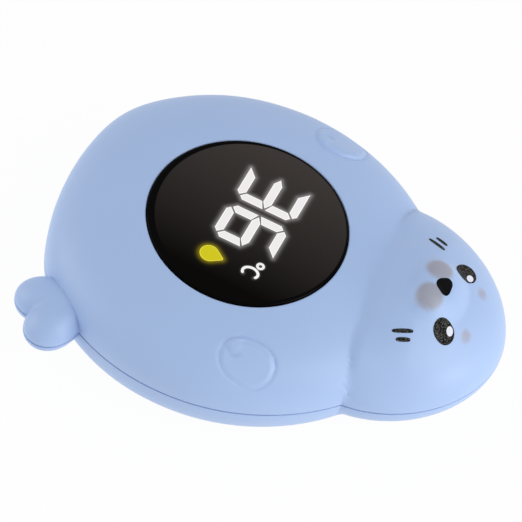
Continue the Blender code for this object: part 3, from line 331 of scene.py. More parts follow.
def closed_mesh(name, loops, wrap_rows=False, attributes=None):
    """A closed mesh from loops of points in millimetres. Ends are closed to their middle points."""
    points = np.asarray(loops, float)
    rows, columns = points.shape[:2]
    flat = points.reshape(-1, 3)
    values = {key: np.asarray(value, float).reshape(-1) for key, value in (attributes or {}).items()}
    triangles = np.zeros((0, 3), int)
    if not wrap_rows:
        j = np.arange(columns)
        k = (j + 1) % columns
        end = (rows - 1) * columns
        first = np.stack([k, j, np.full(columns, len(flat))], axis=1)
        last = np.stack([end + j, end + k, np.full(columns, len(flat) + 1)], axis=1)
        triangles = np.concatenate([first, last])
        flat = np.vstack([flat, points[0].mean(axis=0), points[-1].mean(axis=0)])
        for key, value in values.items():
            values[key] = np.append(value, [value[:columns].mean(), value[-columns:].mean()])
    mesh = bpy.data.meshes.new(name)
    fill_mesh(mesh, flat * MM, grid_faces(rows, columns, wrap_rows), triangles)
    for key, value in values.items():
        layer = mesh.attributes.new(key, "FLOAT", "POINT")
        layer.data.foreach_set("value", value.astype(np.float32))
    return mesh


def add_piece(name, mesh, material, replaces=()):
    """Links a mesh as a piece of the object, which rides on the one body."""
    mesh.materials.append(material)
    mesh.shade_smooth()
    mesh.set_sharp_from_angle(angle=math.radians(SMOOTH_ANGLE))
    made = placed(name, mesh)
    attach(made, "root")
    if replaces:
        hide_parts(*replaces)


def piece(name, loops, material, slot, replaces=(), wrap_rows=False, attributes=None):
    """A piece of the object from loops of points."""
    add_piece(name, closed_mesh(name, loops, wrap_rows, attributes), material, replaces)


def shaped(mesh, *steps):
    """A mesh after exact Booleans: each step names its kind and meshes that don't touch one another."""
    made = placed("work", mesh)
    used = [made]
    for kind, tools in steps:
        together = bmesh.new()
        for tool in tools:
            together.from_mesh(tool)
        merged = bpy.data.meshes.new("tools")
        together.to_mesh(merged)
        together.free()
        used.append(placed("tools", merged))
        step = made.modifiers.new("step", "BOOLEAN")
        step.operation = kind
        step.solver = "EXACT"
        step.object = used[-1]
    result = bpy.data.meshes.new_from_object(made.evaluated_get(bpy.context.evaluated_depsgraph_get()))
    result.materials.clear()
    for other in used:
        bpy.data.objects.remove(other)
    return result


def even_turns(count):
    """Angles of a full turn in equal steps."""
    return np.arange(count) * TAU / count


def unit_points(angle):
    """Plane points on the unit circle."""
    return np.column_stack([np.cos(angle), np.sin(angle)])


def at_level(points, z):
    """Plane points at a height, which may be an array."""
    return np.column_stack([points, np.broadcast_to(z, len(points))])


def ring(angle, radius, z):
    """One loop of points at a radius and a height, which may both be arrays."""
    radius = np.broadcast_to(radius, angle.shape)
    return at_level(radius[:, None] * unit_points(angle), z)


def heights(angle, radius, surface, *settings):
    """One loop of points that lies on a surface z = f(x, y)."""
    x, y = radius * np.cos(angle), radius * np.sin(angle)
    return np.column_stack([x, y, surface(x, y, *settings)])


def toward_rim(count, power):
    """Shares 1 - (1 - t) ** p, closer together towards 1."""
    return 1 - (1 - np.linspace(0, 1, count)) ** power


def circle(radius, at=(0.0, 0.0), sides=72):
    """Points on a circle, anticlockwise."""
    return radius * unit_points(even_turns(sides)) + np.array(at)


def turned(points, degrees):
    """Plane points turned about the origin."""
    cos, sin = math.cos(math.radians(degrees)), math.sin(math.radians(degrees))
    x, y = points[:, 0], points[:, 1]
    return np.column_stack([x * cos - y * sin, x * sin + y * cos])


def turned_mesh(name, profile, at, sides=96):
    """A turned mesh from (radius, height) pairs about an upright axis at (x, y)."""
    loops = np.array([ring(even_turns(sides), radius, z) for radius, z in profile])
    return closed_mesh(name, loops + np.array([*at, 0.0]))


def resample(outline, step):
    """Points along a closed outline, with its corners kept and each side cut into equal steps."""
    points = []
    for a, b in zip(outline, np.roll(outline, -1, axis=0)):
        count = max(1, int(round(float(np.hypot(*(b - a))) / step)))
        points.append(a + (b - a) * (np.arange(count) / count)[:, None])
    return np.concatenate(points)


def drawn_in(points, inset, outline):
    """Points moved inwards along the mean direction of the two sides there, held back at sharp corners."""
    before, after = points - np.roll(points, 1, axis=0), np.roll(points, -1, axis=0) - points
    before /= np.linalg.norm(before, axis=1, keepdims=True)
    after /= np.linalg.norm(after, axis=1, keepdims=True)
    x, y = outline[:, 0], outline[:, 1]
    area = (x * np.roll(y, -1) - np.roll(x, -1) * y).sum()
    sign = 1.0 if area > 0 else -1.0
    normal = sign * np.column_stack([-(before + after)[:, 1], (before + after)[:, 0]])
    length = np.linalg.norm(normal, axis=1, keepdims=True)
    return points + inset * normal / np.maximum(length, 0.6) * np.minimum(2 / np.maximum(length, 0.9), 1.6)


# Materials: widths and heights in millimetres

TONE_WIDTH, ROUGH_SPREAD = 18.0, 0.05
DRAWN_WIDTH, DRAWN_STRETCH, DRAWN_RELIEF, DRAWN_SPREAD = 0.08, 0.05, 0.002, 0.3
DOT_EDGE = (0.42, 0.25)


def colour(code):
    """Linear RGBA from an sRGB hex code."""
    value = np.array([int(code[k:k + 2], 16) for k in (1, 3, 5)]) / 255
    linear = np.where(value <= 0.04045, value / 12.92, ((value + 0.055) / 1.055) ** 2.4)
    return (*linear.tolist(), 1.0)


def wire(tree, node, inputs):
    """Sets a node's inputs. Each is a value, or a socket to link from."""
    for key, value in inputs.items():
        if isinstance(value, bpy.types.NodeSocket):
            tree.links.new(value, node.inputs[key])
        else:
            node.inputs[key].default_value = value


def add(tree, kind, inputs, out=0, **settings):
    """Adds a node with its settings and inputs, and gives one of its outputs."""
    made = tree.nodes.new(kind)
    for key, value in settings.items():
        setattr(made, key, value)
    wire(tree, made, inputs)
    return made.outputs[out]


def new_material(name):
    """A material with its node tree and its Principled shader."""
    made = bpy.data.materials.new(name)
    made.use_nodes = True
    return made, made.node_tree, made.node_tree.nodes["Principled BSDF"]


def moulded(name, code, roughness=0.5, grain=0.3, relief=0.004, drift=0.02, ior=1.46, specular=0.5):
    """Moulded plastic or rubber: a slow drift of tone, a grain of the mould's size and a faint relief."""
    made, tree, shader = new_material(name)
    place = add(tree, "ShaderNodeTexCoord", {}, "Object")
    slow = add(tree, "ShaderNodeTexNoise", {"Vector": place, "Scale": 1000 / TONE_WIDTH, "Detail": 2.0})
    fine = add(tree, "ShaderNodeTexNoise", {"Vector": place, "Scale": 1000 / grain, "Detail": 2.0})
    base = colour(code)
    low, high = ((*(min(c * share, 1.0) for c in base[:3]), 1.0) for share in (1 - drift, 1 + drift))
    rough = {"Value": fine, "To Min": roughness - ROUGH_SPREAD, "To Max": roughness + ROUGH_SPREAD}
    bump = {"Height": fine, "Strength": 1.0, "Distance": relief * MM}
    wire(tree, shader, {
        "Base Color": add(tree, "ShaderNodeMix", {"Factor": slow, 6: low, 7: high}, 2, data_type="RGBA"),
        "Roughness": add(tree, "ShaderNodeMapRange", rough),
        "Normal": add(tree, "ShaderNodeBump", bump),
        "IOR": ior,
        "Specular IOR Level": specular,
    })
    made.diffuse_color = base
    return made


def metal(name, code, roughness):
    """Plated or drawn metal: full metallic, its polish broken by fine drawing lines across Z."""
    made, tree, shader = new_material(name)
    place = add(tree, "ShaderNodeTexCoord", {}, "Object")
    lines = add(tree, "ShaderNodeMapping", {"Vector": place, "Scale": (DRAWN_STRETCH, DRAWN_STRETCH, 1.0)})
    drawn = add(tree, "ShaderNodeTexNoise", {"Vector": lines, "Scale": 1000 / DRAWN_WIDTH, "Detail": 3.0})
    low, high = roughness * (1 - DRAWN_SPREAD), roughness * (1 + DRAWN_SPREAD)
    bump = {"Height": drawn, "Strength": 0.6, "Distance": DRAWN_RELIEF * MM}
    wire(tree, shader, {
        "Base Color": colour(code),
        "Metallic": 1.0,
        "Roughness": add(tree, "ShaderNodeMapRange", {"Value": drawn, "To Min": low, "To Max": high}),
        "Normal": add(tree, "ShaderNodeBump", bump),
    })
    made.diffuse_color = colour(code)
    return made


def lay_over(material, share, code):
    """Mixes a second colour over a material's own, by a share that comes from a socket."""
    tree = material.node_tree
    base = tree.nodes["Principled BSDF"].inputs["Base Color"]
    pair = {"Factor": share, 6: base.links[0].from_socket, 7: colour(code)}
    tree.links.new(add(tree, "ShaderNodeMix", pair, 2, data_type="RGBA"), base)


def printed(material, attribute, code, amount):
    """Lays a second colour over a material where a point attribute says so."""
    tree = material.node_tree
    mask = add(tree, "ShaderNodeAttribute", {}, "Fac", attribute_name=attribute)
    lay_over(material, add(tree, "ShaderNodeMath", {0: mask, 1: amount}, operation="MULTIPLY"), code)


def speckled(material, code, size, amount):
    """Scatters fine dots of a second colour, of a size in millimetres."""
    tree = material.node_tree
    place = add(tree, "ShaderNodeTexCoord", {}, "Object")
    dots = add(tree, "ShaderNodeTexVoronoi", {"Vector": place, "Scale": 1000 / size}, "Distance")
    share = {"Value": dots, "From Min": DOT_EDGE[0], "From Max": DOT_EDGE[1], "To Max": amount}
    lay_over(material, add(tree, "ShaderNodeMapRange", share), code)


def lamp_film(name, code, edge_code):
    """A lit diffuser: its own light is even, with a brighter line along its edge, read from an attribute."""
    made = moulded(name, code, grain=0.5, relief=0.001, drift=0.01, specular=0.1)
    tree = made.node_tree
    shader = tree.nodes["Principled BSDF"]
    rim = add(tree, "ShaderNodeAttribute", {}, "Fac", attribute_name="edge")
    pair = {"Factor": rim, 6: colour(code), 7: colour(edge_code)}
    tree.links.remove(shader.inputs["Base Color"].links[0])
    wire(tree, shader, {
        "Base Color": colour("#101010"),
        "Emission Color": add(tree, "ShaderNodeMix", pair, 2, data_type="RGBA"),
        "Emission Strength": 1.0,
    })
    return made


# Soft-touch ABS: matte, so light falls off softly over it with a wide, dim sheen
BLUE = moulded("soft_touch_abs_pale_blue", "#a8c1ea", roughness=0.42, grain=0.35, relief=0.003)
printed(BLUE, "muzzle", "#9999a4", 0.9)
printed(BLUE, "brow", "#a4a3b7", 0.8)
# Painted shade: a darker blue along the parting line, where the gap between the shells lies in shade
printed(BLUE, "seam_shade", "#8ea6d8", 0.3)

# Pad-printed ink: near black, with the fine dots that the print screen leaves
INK = moulded("pad_printed_ink_black", "#0b0b0e", roughness=0.42, grain=0.25, relief=0.001, specular=0.05)
speckled(INK, "#b9b8b0", 0.25, 0.34)
NOSE = moulded("pad_printed_ink_gloss_black", "#060607", 0.3, grain=0.4, relief=0.002, specular=0.06)
HIGHLIGHT = moulded("pad_printed_ink_white", "#e3e7f4", grain=0.25, relief=0.002)

# Stainless and nickel-plated steel: bright, with faint drawing lines
STEEL = metal("stainless_steel_drawn", "#c8c9cb", 0.22)

# Lit films of the display
LIT_WHITE = lamp_film("lit_film_white", "#eeeaeb", "#ffffff")
LIT_YELLOW = lamp_film("lit_film_yellow", "#cec50e", "#ece045")

# The solids that stay, by the record's slots: satin moulded parts, laminate, rubber, wrap and plated steel
BLACK = moulded("moulded_abs_black", "#1c1c1e", relief=0.006)
BY_SLOT = {
    "shell_blue": BLUE,
    "window_black": BLACK,
    "moulded_black": BLACK,
    "steel": STEEL,
    "plated_steel": metal("nickel_plated_steel", "#cbc6bb", 0.26),
    "cell_wrap": moulded("shrink_wrap_dark_green", "#1f3d37", 0.3, grain=0.6, relief=0.003, drift=0.1),
    "board_green": moulded("glass_epoxy_laminate", "#1f5a38", 0.35, grain=0.2, drift=0.12),
    "epoxy_black": moulded("epoxy_bead", "#232323", 0.25, grain=0.8),
    "silicone_grey": moulded("silicone_rubber_grey", "#b4b8c0", 0.62, grain=0.4, relief=0.006),
    "diffuser_white": moulded("opal_diffuser", "#ecebee", 0.4, relief=0.002),
    "diffuser_yellow": moulded("yellow_diffuser", "#dccf28", 0.4, relief=0.002),
    "wire_red": moulded("pvc_sleeve_red", "#b02a26", 0.4),
    "wire_black": moulded("pvc_sleeve_black", "#1e1e1e", 0.4),
    "wire_white": moulded("pvc_sleeve_white", "#dcdcd8", 0.4),
}


# Shells and tail

def clear_of_rim(loops, rim, sign):
    """Holds the outermost loops of a skin off its rounded edge, each a little more than the next."""
    for k, loop in enumerate(loops[::-1], 1):
        level = rim + sign * (RIM_ROUND + RIM_CLEAR * k)
        loop[:, 2] = sign * np.maximum(sign * loop[:, 2], sign * level)


def rim_loops(angle, edge, rim, sign):
    """Loops that round a wall's edge over into the parting plane, along a quarter of a circle."""
    turns = [(1 - math.cos(a), 1 - math.sin(a)) for a in QUARTER]
    return [ring(angle, edge - RIM_ROUND * s, rim + sign * (RIM_ROUND * t)) for s, t in turns]


def seam_shade_mark(loops, rim):
    """Share of the painted shade along the parting line: 1 where a skin is next to it."""
    return ease(SEAM_SHADE_END - np.abs(loops[..., 2] - rim) / SEAM_SHADE_FADE)


def soft_spot(x, y, at, half, end, fade):
    """1 inside an oval on each side of the face, with a soft edge."""
    return ease((end - oval(np.abs(x), y, at, half)) / fade)


def upper_skin(angle, outer, inner):
    """The upper wall: outer skin, parting edge, inner skin, the window's seat and the lip round it."""
    lip = APERTURE + EDGE_ROUND
    loops = [heights(angle, lip + (outer - lip) * s, skin) for s in toward_rim(*UPPER_LOOPS)[:-1]]
    clear_of_rim(loops, UPPER_RIM, 1)
    level = loops[0][:, 2]
    loops += rim_loops(angle, outer, UPPER_RIM, 1)
    radii = [SEAT_RING + (inner - SEAT_RING) * s for s in toward_rim(*UPPER_INSIDE_LOOPS)[::-1]]
    inside = [heights(angle, radius, skin, WALL) for radius in radii]
    inside[0][:, 2] = UPPER_RIM
    loops += inside
    for radius, z in (
        (SEAT_RING, SEAT_BASE),
        (APERTURE - SEAT_WIDTH, SEAT_BASE),
        (APERTURE - SEAT_WIDTH, SEAT_TOP),
        (APERTURE, SEAT_TOP),
        (APERTURE, WINDOW_TOP - LIP_DEPTH),
    ):
        loops.append(ring(angle, radius, z))
    for a in QUARTER[:-1]:
        loops.append(ring(angle, lip - EDGE_ROUND * math.cos(a), level - EDGE_ROUND * (1 - math.sin(a))))
    loops = np.array(loops)
    x, y = loops[..., 0], loops[..., 1]
    marks = {
        "muzzle": soft_spot(x, y, *MUZZLE),
        "brow": soft_spot(x, y, *BROW),
        "seam_shade": seam_shade_mark(loops, UPPER_RIM),
    }
    piece("upper_skin", loops, BLUE, "shell_blue", ("upper_shell",), wrap_rows=True, attributes=marks)


def lower_skin(angle, outer, inner):
    """The lower wall: the flat, the outer skin, the parting edge, the inner skin and its floor."""
    flat = BODY_FLAT * reach(angle, in_plan(0.0, (BODY,)))
    radii = [flat * s for s in (0.06, 0.4, 0.75)]
    radii += [flat + (outer - flat) * s for s in toward_rim(*LOWER_LOOPS)[:-1]]
    loops = [heights(angle, radius, under_skin) for radius in radii]
    clear_of_rim(loops, LOWER_RIM, -1)
    loops += rim_loops(angle, outer, LOWER_RIM, -1)
    flat = FLOOR_FLAT * reach(angle, in_plan(WALL, (BODY,)))
    radii = [flat + (inner - flat) * s for s in toward_rim(*LOWER_INSIDE_LOOPS)[::-1]]
    radii += [flat * s for s in (0.5, 0.06)]
    inside = [heights(angle, radius, under_skin, WALL) for radius in radii]
    inside[0][:, 2] = LOWER_RIM
    loops = np.array(loops + inside)
    mouths, bores = floor_openings()
    mesh = shaped(
        closed_mesh("lower_skin", loops, attributes={"seam_shade": seam_shade_mark(loops, LOWER_RIM)}),
        ("UNION", bosses()), ("DIFFERENCE", mouths), ("DIFFERENCE", bores),
    )
    add_piece("lower_skin", mesh, BLUE, ("lower_shell",))


def shells():
    """Both skins of the body and head: closed walls with rounded edges."""
    angle = bearings(AROUND)
    outer, inner = reach(angle, in_plan()), reach(angle, in_plan(WALL))
    upper_skin(angle, outer, inner)
    lower_skin(angle, outer, inner)


def tail():
    """The two lobes above and below the parting line, each half a closed solid rooted in the body's wall."""
    angle = even_turns(AROUND_TAIL)
    middle = np.mean([at for at, _ in TAIL_LOBES], axis=0)
    offset = np.array([*middle, 0.0])

    def inside(x, y):
        x, y = x + middle[0], y + middle[1]
        lobes = np.minimum(*[tail_lobe(x, y, at, turn) for at, turn in TAIL_LOBES])
        return (lobes < 1) & (lobe_gauge(x, y, BODY, TAIL_ROOT) > 1)

    edge = reach(angle, inside, 30.0)
    for name, rim, sign, rise, powers in (
        ("upper", UPPER_RIM, 1, TAIL_RISE, TAIL_RISE_POWERS),
        ("lower", LOWER_RIM, -1, TAIL_DEPTH, TAIL_UNDER_POWERS),
    ):
        loops = []
        for s in [0.03, *toward_rim(*TAIL_LOOPS)[3:-1]]:
            x, y = middle[0] + edge * s * np.cos(angle), middle[1] + edge * s * np.sin(angle)
            loops.append(np.column_stack([x, y, rim + sign * tail_height(x, y, rise, powers)]))
        loops += [loop + offset for loop in rim_loops(angle, edge, rim, sign)]
        loops = np.array(loops + [ring(angle, edge * 0.1, rim) + offset])
        piece(f"tail_{name}_half", loops, BLUE, "shell_blue", attributes={"seam_shade": seam_shade_mark(loops, rim)})


# Underside: the door and its screw, the openings in the floor and the posts for the case's screws

DOOR_HALF, DOOR_CORNER, DOOR_TAB_HALF, DOOR_TAB_END = (11.25, 23.9), 2.5, 3.5, 30.4
DOOR_SCREW_AT = (0.0, -27.9)
DOOR_SINK, DOOR_SEAT, DOOR_BORE = 2.1, 1.25, 1.1
RIB_HALF, RIB_PITCH, RIBS, RIB_DEPTH, RIB_ROUND, RIB_FROM_END = (4.5, 0.35), 1.6, 5, 0.35, 0.15, 3.0
SENSOR_HOLE, PIN_HOLE, PIN_ROUND = 3.5, 1.7, 0.2
COUNTERBORE, COUNTERBORE_TOP, BORE = 2.8, 3.5, 1.5
BOSS_RADIUS, BOSS_TOP = 3.4, 7.7
MOUTH_ROUND, MOUTH_STEP = 0.3, 0.6
OVERLAP = 0.5

# Screws: head and shaft radii and the head's thickness, then shares of these
CASE_SCREW, DOOR_SCREW = (2.4, 2.0, 1.1), (1.8, 0.8, 0.8)
DOME_STEPS, DOME_RISE, DOME_POWER, HEAD_EDGE = (0.4, 0.62, 0.78, 0.9, 0.97), 0.42, 3.2, 0.12
THREAD_PITCH, THREAD_ROOT, THREAD_START = 0.7, 0.8, 0.4
RECESS_LONG, RECESS_WIDE, RECESS_DEEP, RECESS_TAPER = 0.56, 0.13, 0.55, 0.62


def rounded(radius, level, edge, steps=8):
    """A quarter of a circle between a flat below and an upright side, as (radius, height) pairs."""
    turns = np.linspace(0, math.pi / 2, steps)
    return [(radius + edge * math.sin(a), level - edge * math.cos(a)) for a in turns]


# Turned parts as (radius, height) pairs: a rounded end below, a flange on the floor's inside, and the top
SENSOR_CUP = [
    (0.05, 0.3), (1.4, 0.3), *rounded(2.45, 1.05, 0.75), (3.2, 3.4), (4.55, 3.4), (4.6, 3.45), (4.6, 3.85),
    (4.55, 3.9), (3.2, 3.9), (3.2, 6.5), (2.8, 6.5), (2.8, 1.2), (2.2, 0.7), (0.05, 0.7),
]
WATER_PIN = [
    (0.05, 0.3), (0.6, 0.3), *rounded(1.0, 0.7, 0.4), (1.4, 2.25), (2.45, 2.3), (2.5, 2.35), (2.5, 2.95),
    (2.45, 3.0), (1.4, 3.0), (1.4, 4.15), (1.35, 4.2), (0.05, 4.2),
]


def middle_of(node):
    """Middle of a node in plan, and its lowest and highest levels, in millimetres."""
    low, high = (np.array(corner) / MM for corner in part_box(node))
    return tuple((low + high)[:2] / 2), low[2], high[2]


def screw_places():
    """Middles of the four screws that join the shells."""
    return [middle_of(f"shell_screw_{k}")[0] for k in range(1, 5)]


def rounded_outline(half, corner, count=10):
    """A rectangle with rounded corners about the origin, anticlockwise."""
    points = []
    for k, (sx, sy) in enumerate(((1, 1), (-1, 1), (-1, -1), (1, -1))):
        a = np.linspace(0, math.pi / 2, count) + k * math.pi / 2
        middle = np.array([sx * (half[0] - corner), sy * (half[1] - corner)])
        points.append(middle + corner * unit_points(a))
    return np.concatenate(points)


def door_outline(clear):
    """The door seen in plan: a rounded rectangle with a round-ended tab for its screw, towards the tail."""
    half = (DOOR_HALF[0] - clear, DOOR_HALF[1] - clear)
    points = rounded_outline(half, DOOR_CORNER)
    right = DOOR_TAB_HALF - clear
    end = right * unit_points(np.linspace(math.pi, TAU, 24)) + np.array([0.0, clear - DOOR_TAB_END + right])
    tab = np.concatenate([[(-right, -half[1])], end, [(right, -half[1])]])
    split = len(points) * 3 // 4
    return np.concatenate([points[:split], tab, points[split:]])


def mouth(outline, top, flare=MOUTH_ROUND):
    """A cutter for an opening from below, whose edge rounds over. It starts 1 mm under the plane."""
    outline = resample(np.asarray(outline, float), MOUTH_STEP)
    loops = [at_level(outline, top)]
    for a in QUARTER:
        wide = drawn_in(outline, -flare * (1 - math.cos(a)), outline)
        loops.append(at_level(wide, flare * (1 - math.sin(a)) - 0.002))
    loops.append(loops[-1] - np.array([0.0, 0.0, 1.0]))
    return closed_mesh("mouth", loops)


def bosses():
    """The posts that the shell screws sit in."""
    profile = [(BOSS_RADIUS, FLOOR / 2), (BOSS_RADIUS, BOSS_TOP)]
    return [turned_mesh("boss", profile, at) for at in screw_places()]


def floor_openings():
    """Cutters for the door, the sensor, the water contacts and the screws' heads, and for the shafts."""
    mouths = [mouth(door_outline(0.0), FLOOR + 1)]
    mouths.append(mouth(circle(SENSOR_HOLE, middle_of("sensor_cup")[0]), FLOOR + 1))
    for k in (1, 2):
        mouths.append(mouth(circle(PIN_HOLE, middle_of(f"water_contact_{k}")[0]), FLOOR + 1, PIN_ROUND))
    mouths += [mouth(circle(COUNTERBORE, at), COUNTERBORE_TOP) for at in screw_places()]
    bore = [(BORE, COUNTERBORE_TOP - OVERLAP), (BORE, BOSS_TOP + 1)]
    return mouths, [turned_mesh("bore", bore, at) for at in screw_places()]


def battery_door():
    """The door: a slab with rounded edges below, a sunk hole for its screw and fine grip grooves."""
    _, low, high = middle_of("battery_door")
    outline = resample(door_outline(FIT), MOUTH_STEP)
    loops = [at_level(outline * share, low) for share in (0.05, 0.5)]
    for a in QUARTER:
        edge = drawn_in(outline, MOUTH_ROUND * (1 - math.sin(a)), outline)
        loops.append(at_level(edge, low + MOUTH_ROUND * (1 - math.cos(a))))
    loops += [at_level(outline * share, high) for share in (1.0, 0.5, 0.05)]
    cutters = [mouth(circle(DOOR_SINK, DOOR_SCREW_AT), DOOR_SEAT)]
    rib = rounded_outline(RIB_HALF, RIB_HALF[1] - 0.01)
    for k in range(RIBS):
        at = np.array([0.0, -(DOOR_HALF[1] - RIB_FROM_END - k * RIB_PITCH)])
        cutters.append(mouth(rib + at, RIB_DEPTH, RIB_ROUND))
    bore = turned_mesh("bore", [(DOOR_BORE, DOOR_SEAT - OVERLAP), (DOOR_BORE, FLOOR + 1)], DOOR_SCREW_AT)
    mesh = shaped(closed_mesh("battery_door", loops), ("DIFFERENCE", cutters), ("DIFFERENCE", [bore]))
    add_piece("door_with_grip", mesh, BLUE, ("battery_door",))


def cross_screw(name, node, head, thick, shaft):
    """A pan-head screw seen from below: a domed head with a cross recess, and a threaded shaft."""
    at, low, high = middle_of(node)
    seat = low + thick
    profile = [(head * 0.04, low)]
    profile += [(head * s, low + DOME_RISE * thick * s**DOME_POWER) for s in DOME_STEPS]
    profile += [(head, low + 0.5 * thick), (head, seat - HEAD_EDGE), (head - HEAD_EDGE, seat)]
    profile.append((shaft * 0.86, seat))
    pitch, root = shaft * THREAD_PITCH, shaft * THREAD_ROOT
    for k in range(int((high - shaft - seat - THREAD_START) / pitch)):
        z = seat + THREAD_START + k * pitch
        profile += [(root, z), (root, z + pitch * 0.3), (shaft, z + pitch * 0.5), (shaft, z + pitch * 0.62)]
    profile += [(root, high - shaft), (shaft * 0.3, high)]
    long, wide, deep = head * RECESS_LONG, head * RECESS_WIDE, thick * RECESS_DEEP
    tools = []
    for a, b in ((long, wide), (wide, long)):
        box = np.array([(a, b), (-a, b), (-a, -b), (a, -b)])
        levels = ((low - 0.5, 1.0), (low + deep * 0.3, 1.0), (low + deep, RECESS_TAPER))
        loops = [at_level(box * scale + np.array(at), z) for z, scale in levels]
        tools.append(("DIFFERENCE", [closed_mesh("recess", loops)]))
    add_piece(name, shaped(turned_mesh(name, profile, at), *tools), STEEL, (node,))


def steel_turning(name, node, profile):
    """A turned steel part in the place of a node."""
    add_piece(name, turned_mesh(name, profile, middle_of(node)[0]), STEEL, (node,))


def underside():
    """Door, screws, sensor cup and water contacts, finer than their solids."""
    battery_door()
    for k in range(1, 5):
        cross_screw(f"case_screw_{k}", f"shell_screw_{k}", *CASE_SCREW)
    cross_screw("door_cross_screw", "door_screw", *DOOR_SCREW)
    steel_turning("sensor_dome", "sensor_cup", SENSOR_CUP)
    for k in (1, 2):
        steel_turning(f"water_pin_{k}", f"water_contact_{k}", WATER_PIN)


# Display

DISPLAY_TURN = -5.7
DIGIT_WIDTH, DIGIT_HEIGHT, DIGIT_PITCH = 9.6, 14.3, 11.6
BAR_WIDTH, BAR_GAP, BAR_CHAMFER = 1.95, 0.4, 1.75
TENS_X, DIGITS_Y = -9.4, 1.58
TENS_SHORT, UNITS_SHORT = 0.5, 0.8
DEGREE_AT, DEGREE_RADIUS, DEGREE_HOLE = (9.47, 7.33), 0.95, 0.38
CELSIUS_AT, CELSIUS_RADII, CELSIUS_STROKE, CELSIUS_OPEN = (12.1, 6.1), (1.35, 1.75), 0.62, 48.0
DROP_AT, DROP_RADIUS, DROP_TIP, DROP_TIP_ROUND = (12.1, -3.6), 2.1, 3.5, 0.4
LIT = {"tens": "abcdg", "units": "acdefg"}
FILM_TOP, FILM_BASE, FILM_STEP = WINDOW_TOP + 0.03, WINDOW_TOP - 0.1, 0.12

# Light that leaks round the films: its strength, its reach in millimetres and the power of its fall
SIGNS = ("lit_celsius", "lit_degree")
BAR_LEAK, SIGN_LEAK = (0.42, 0.6, 1.7), (0.12, 0.2, 1.5)

# Window: its bevel, the painted reflection that fades across it along a direction, and the black border
# round a middle point
WINDOW_SIDES, WINDOW_BEVEL = 360, 0.45
REFLECTION_WAY, REFLECTION_SPAN = (0.99, -0.12, 0.0), (-21.0, 17.0)
BORDER_AT, BORDER_SPAN = (-0.3, 0.55, WINDOW_TOP), (20.8, 20.95)


def level_bar(short_left, short_right):
    """The top bar of a digit: pointed and a little short at a free end, else chamfered to meet a bar."""
    x, y = DIGIT_WIDTH / 2, DIGIT_HEIGHT / 2
    points = []
    for side, short in ((1, short_right), (-1, short_left)):
        tip = [(side * (x - BAR_GAP / 3 - short), y)]
        if not short:
            tip = [
                (side * (x - BAR_CHAMFER / 2 - BAR_GAP / 2), y - BAR_CHAMFER / 2 + BAR_GAP / 4),
                (side * (x - BAR_CHAMFER - BAR_GAP / 3), y),
            ]
        end = [(side * (x - BAR_WIDTH - BAR_GAP * 0.7 - short), y - BAR_WIDTH), *tip]
        points += end if side == 1 else end[::-1]
    return np.array(points)


def digit_bars(short_tops, short_bottoms):
    """The outlines of the seven bars of a digit by their usual letters."""
    x, y = DIGIT_WIDTH / 2, DIGIT_HEIGHT / 2
    near = x - BAR_WIDTH
    half_chamfer = BAR_CHAMFER / 2 + BAR_GAP / 3
    upright = np.array([
        (x, BAR_GAP * 0.8),
        (x, y - BAR_CHAMFER - BAR_GAP / 3),
        (x - BAR_CHAMFER / 2 + BAR_GAP / 6, y - half_chamfer - BAR_GAP / 3),
        (near, y - BAR_WIDTH - BAR_GAP * 0.7),
        (near, BAR_WIDTH / 2 + BAR_GAP * 0.7),
    ])
    end, half = x - BAR_GAP, BAR_WIDTH / 2
    blunt = end - half * 1.6
    middle = np.array([(end, 0), (blunt, half), (-blunt, half), (-end, 0), (-blunt, -half), (blunt, -half)])
    flip_x, flip_y = np.array([-1, 1]), np.array([1, -1])
    return dict(
        a=level_bar(*short_tops), b=upright, c=upright * flip_y, d=level_bar(*short_bottoms) * flip_y,
        e=upright * flip_x * flip_y, f=upright * flip_x, g=middle,
    )


def celsius_outline():
    """An open ring with round ends, for the spread of light round the sign."""
    turn = math.radians(CELSIUS_OPEN)
    cap = np.linspace(0, math.pi, 9)[1:-1]
    arc = unit_points(np.linspace(turn, TAU - turn, 41))
    half, radii = CELSIUS_STROKE / 2, np.array(CELSIUS_RADII)
    caps = []
    for end, start in ((arc[-1], 0), (arc[0], 1)):
        bearing = math.atan2(end[1], end[0]) + start * math.pi
        caps.append(end * radii + half * unit_points(bearing + cap))
    outline = [arc * (radii + half), caps[0], (arc * (radii - half))[::-1], caps[1]]
    return np.concatenate(outline) + np.array(CELSIUS_AT)


def drop_outline():
    """A round bottom and a small round tip, joined by straight sides."""
    lift = math.asin(DROP_RADIUS / DROP_TIP)
    tip_at = np.array([0.0, DROP_TIP - DROP_TIP_ROUND / math.sin(lift)])
    bottom = DROP_RADIUS * unit_points(np.linspace(math.pi - lift, TAU + lift, 60))
    tip = DROP_TIP_ROUND * unit_points(np.linspace(lift, math.pi - lift, 7)) + tip_at
    return np.concatenate([bottom, tip]) + np.array(DROP_AT)


def lit_outlines():
    """Every lit outline in the display's own coordinates, by name."""
    shapes = {}
    tens = digit_bars((TENS_SHORT, 0.0), (TENS_SHORT, 0.0))
    units = digit_bars((0.0, UNITS_SHORT), (0.0, 0.0))
    for digit, x, bars in (("tens", TENS_X, tens), ("units", TENS_X + DIGIT_PITCH, units)):
        for letter in LIT[digit]:
            shapes[f"lit_{digit}_{letter}"] = bars[letter] + np.array([x, DIGITS_Y])
    shapes["lit_celsius"] = celsius_outline()
    shapes["lit_drop"] = drop_outline()
    shapes["lit_degree"] = circle(DEGREE_RADIUS, DEGREE_AT, 48)
    return shapes


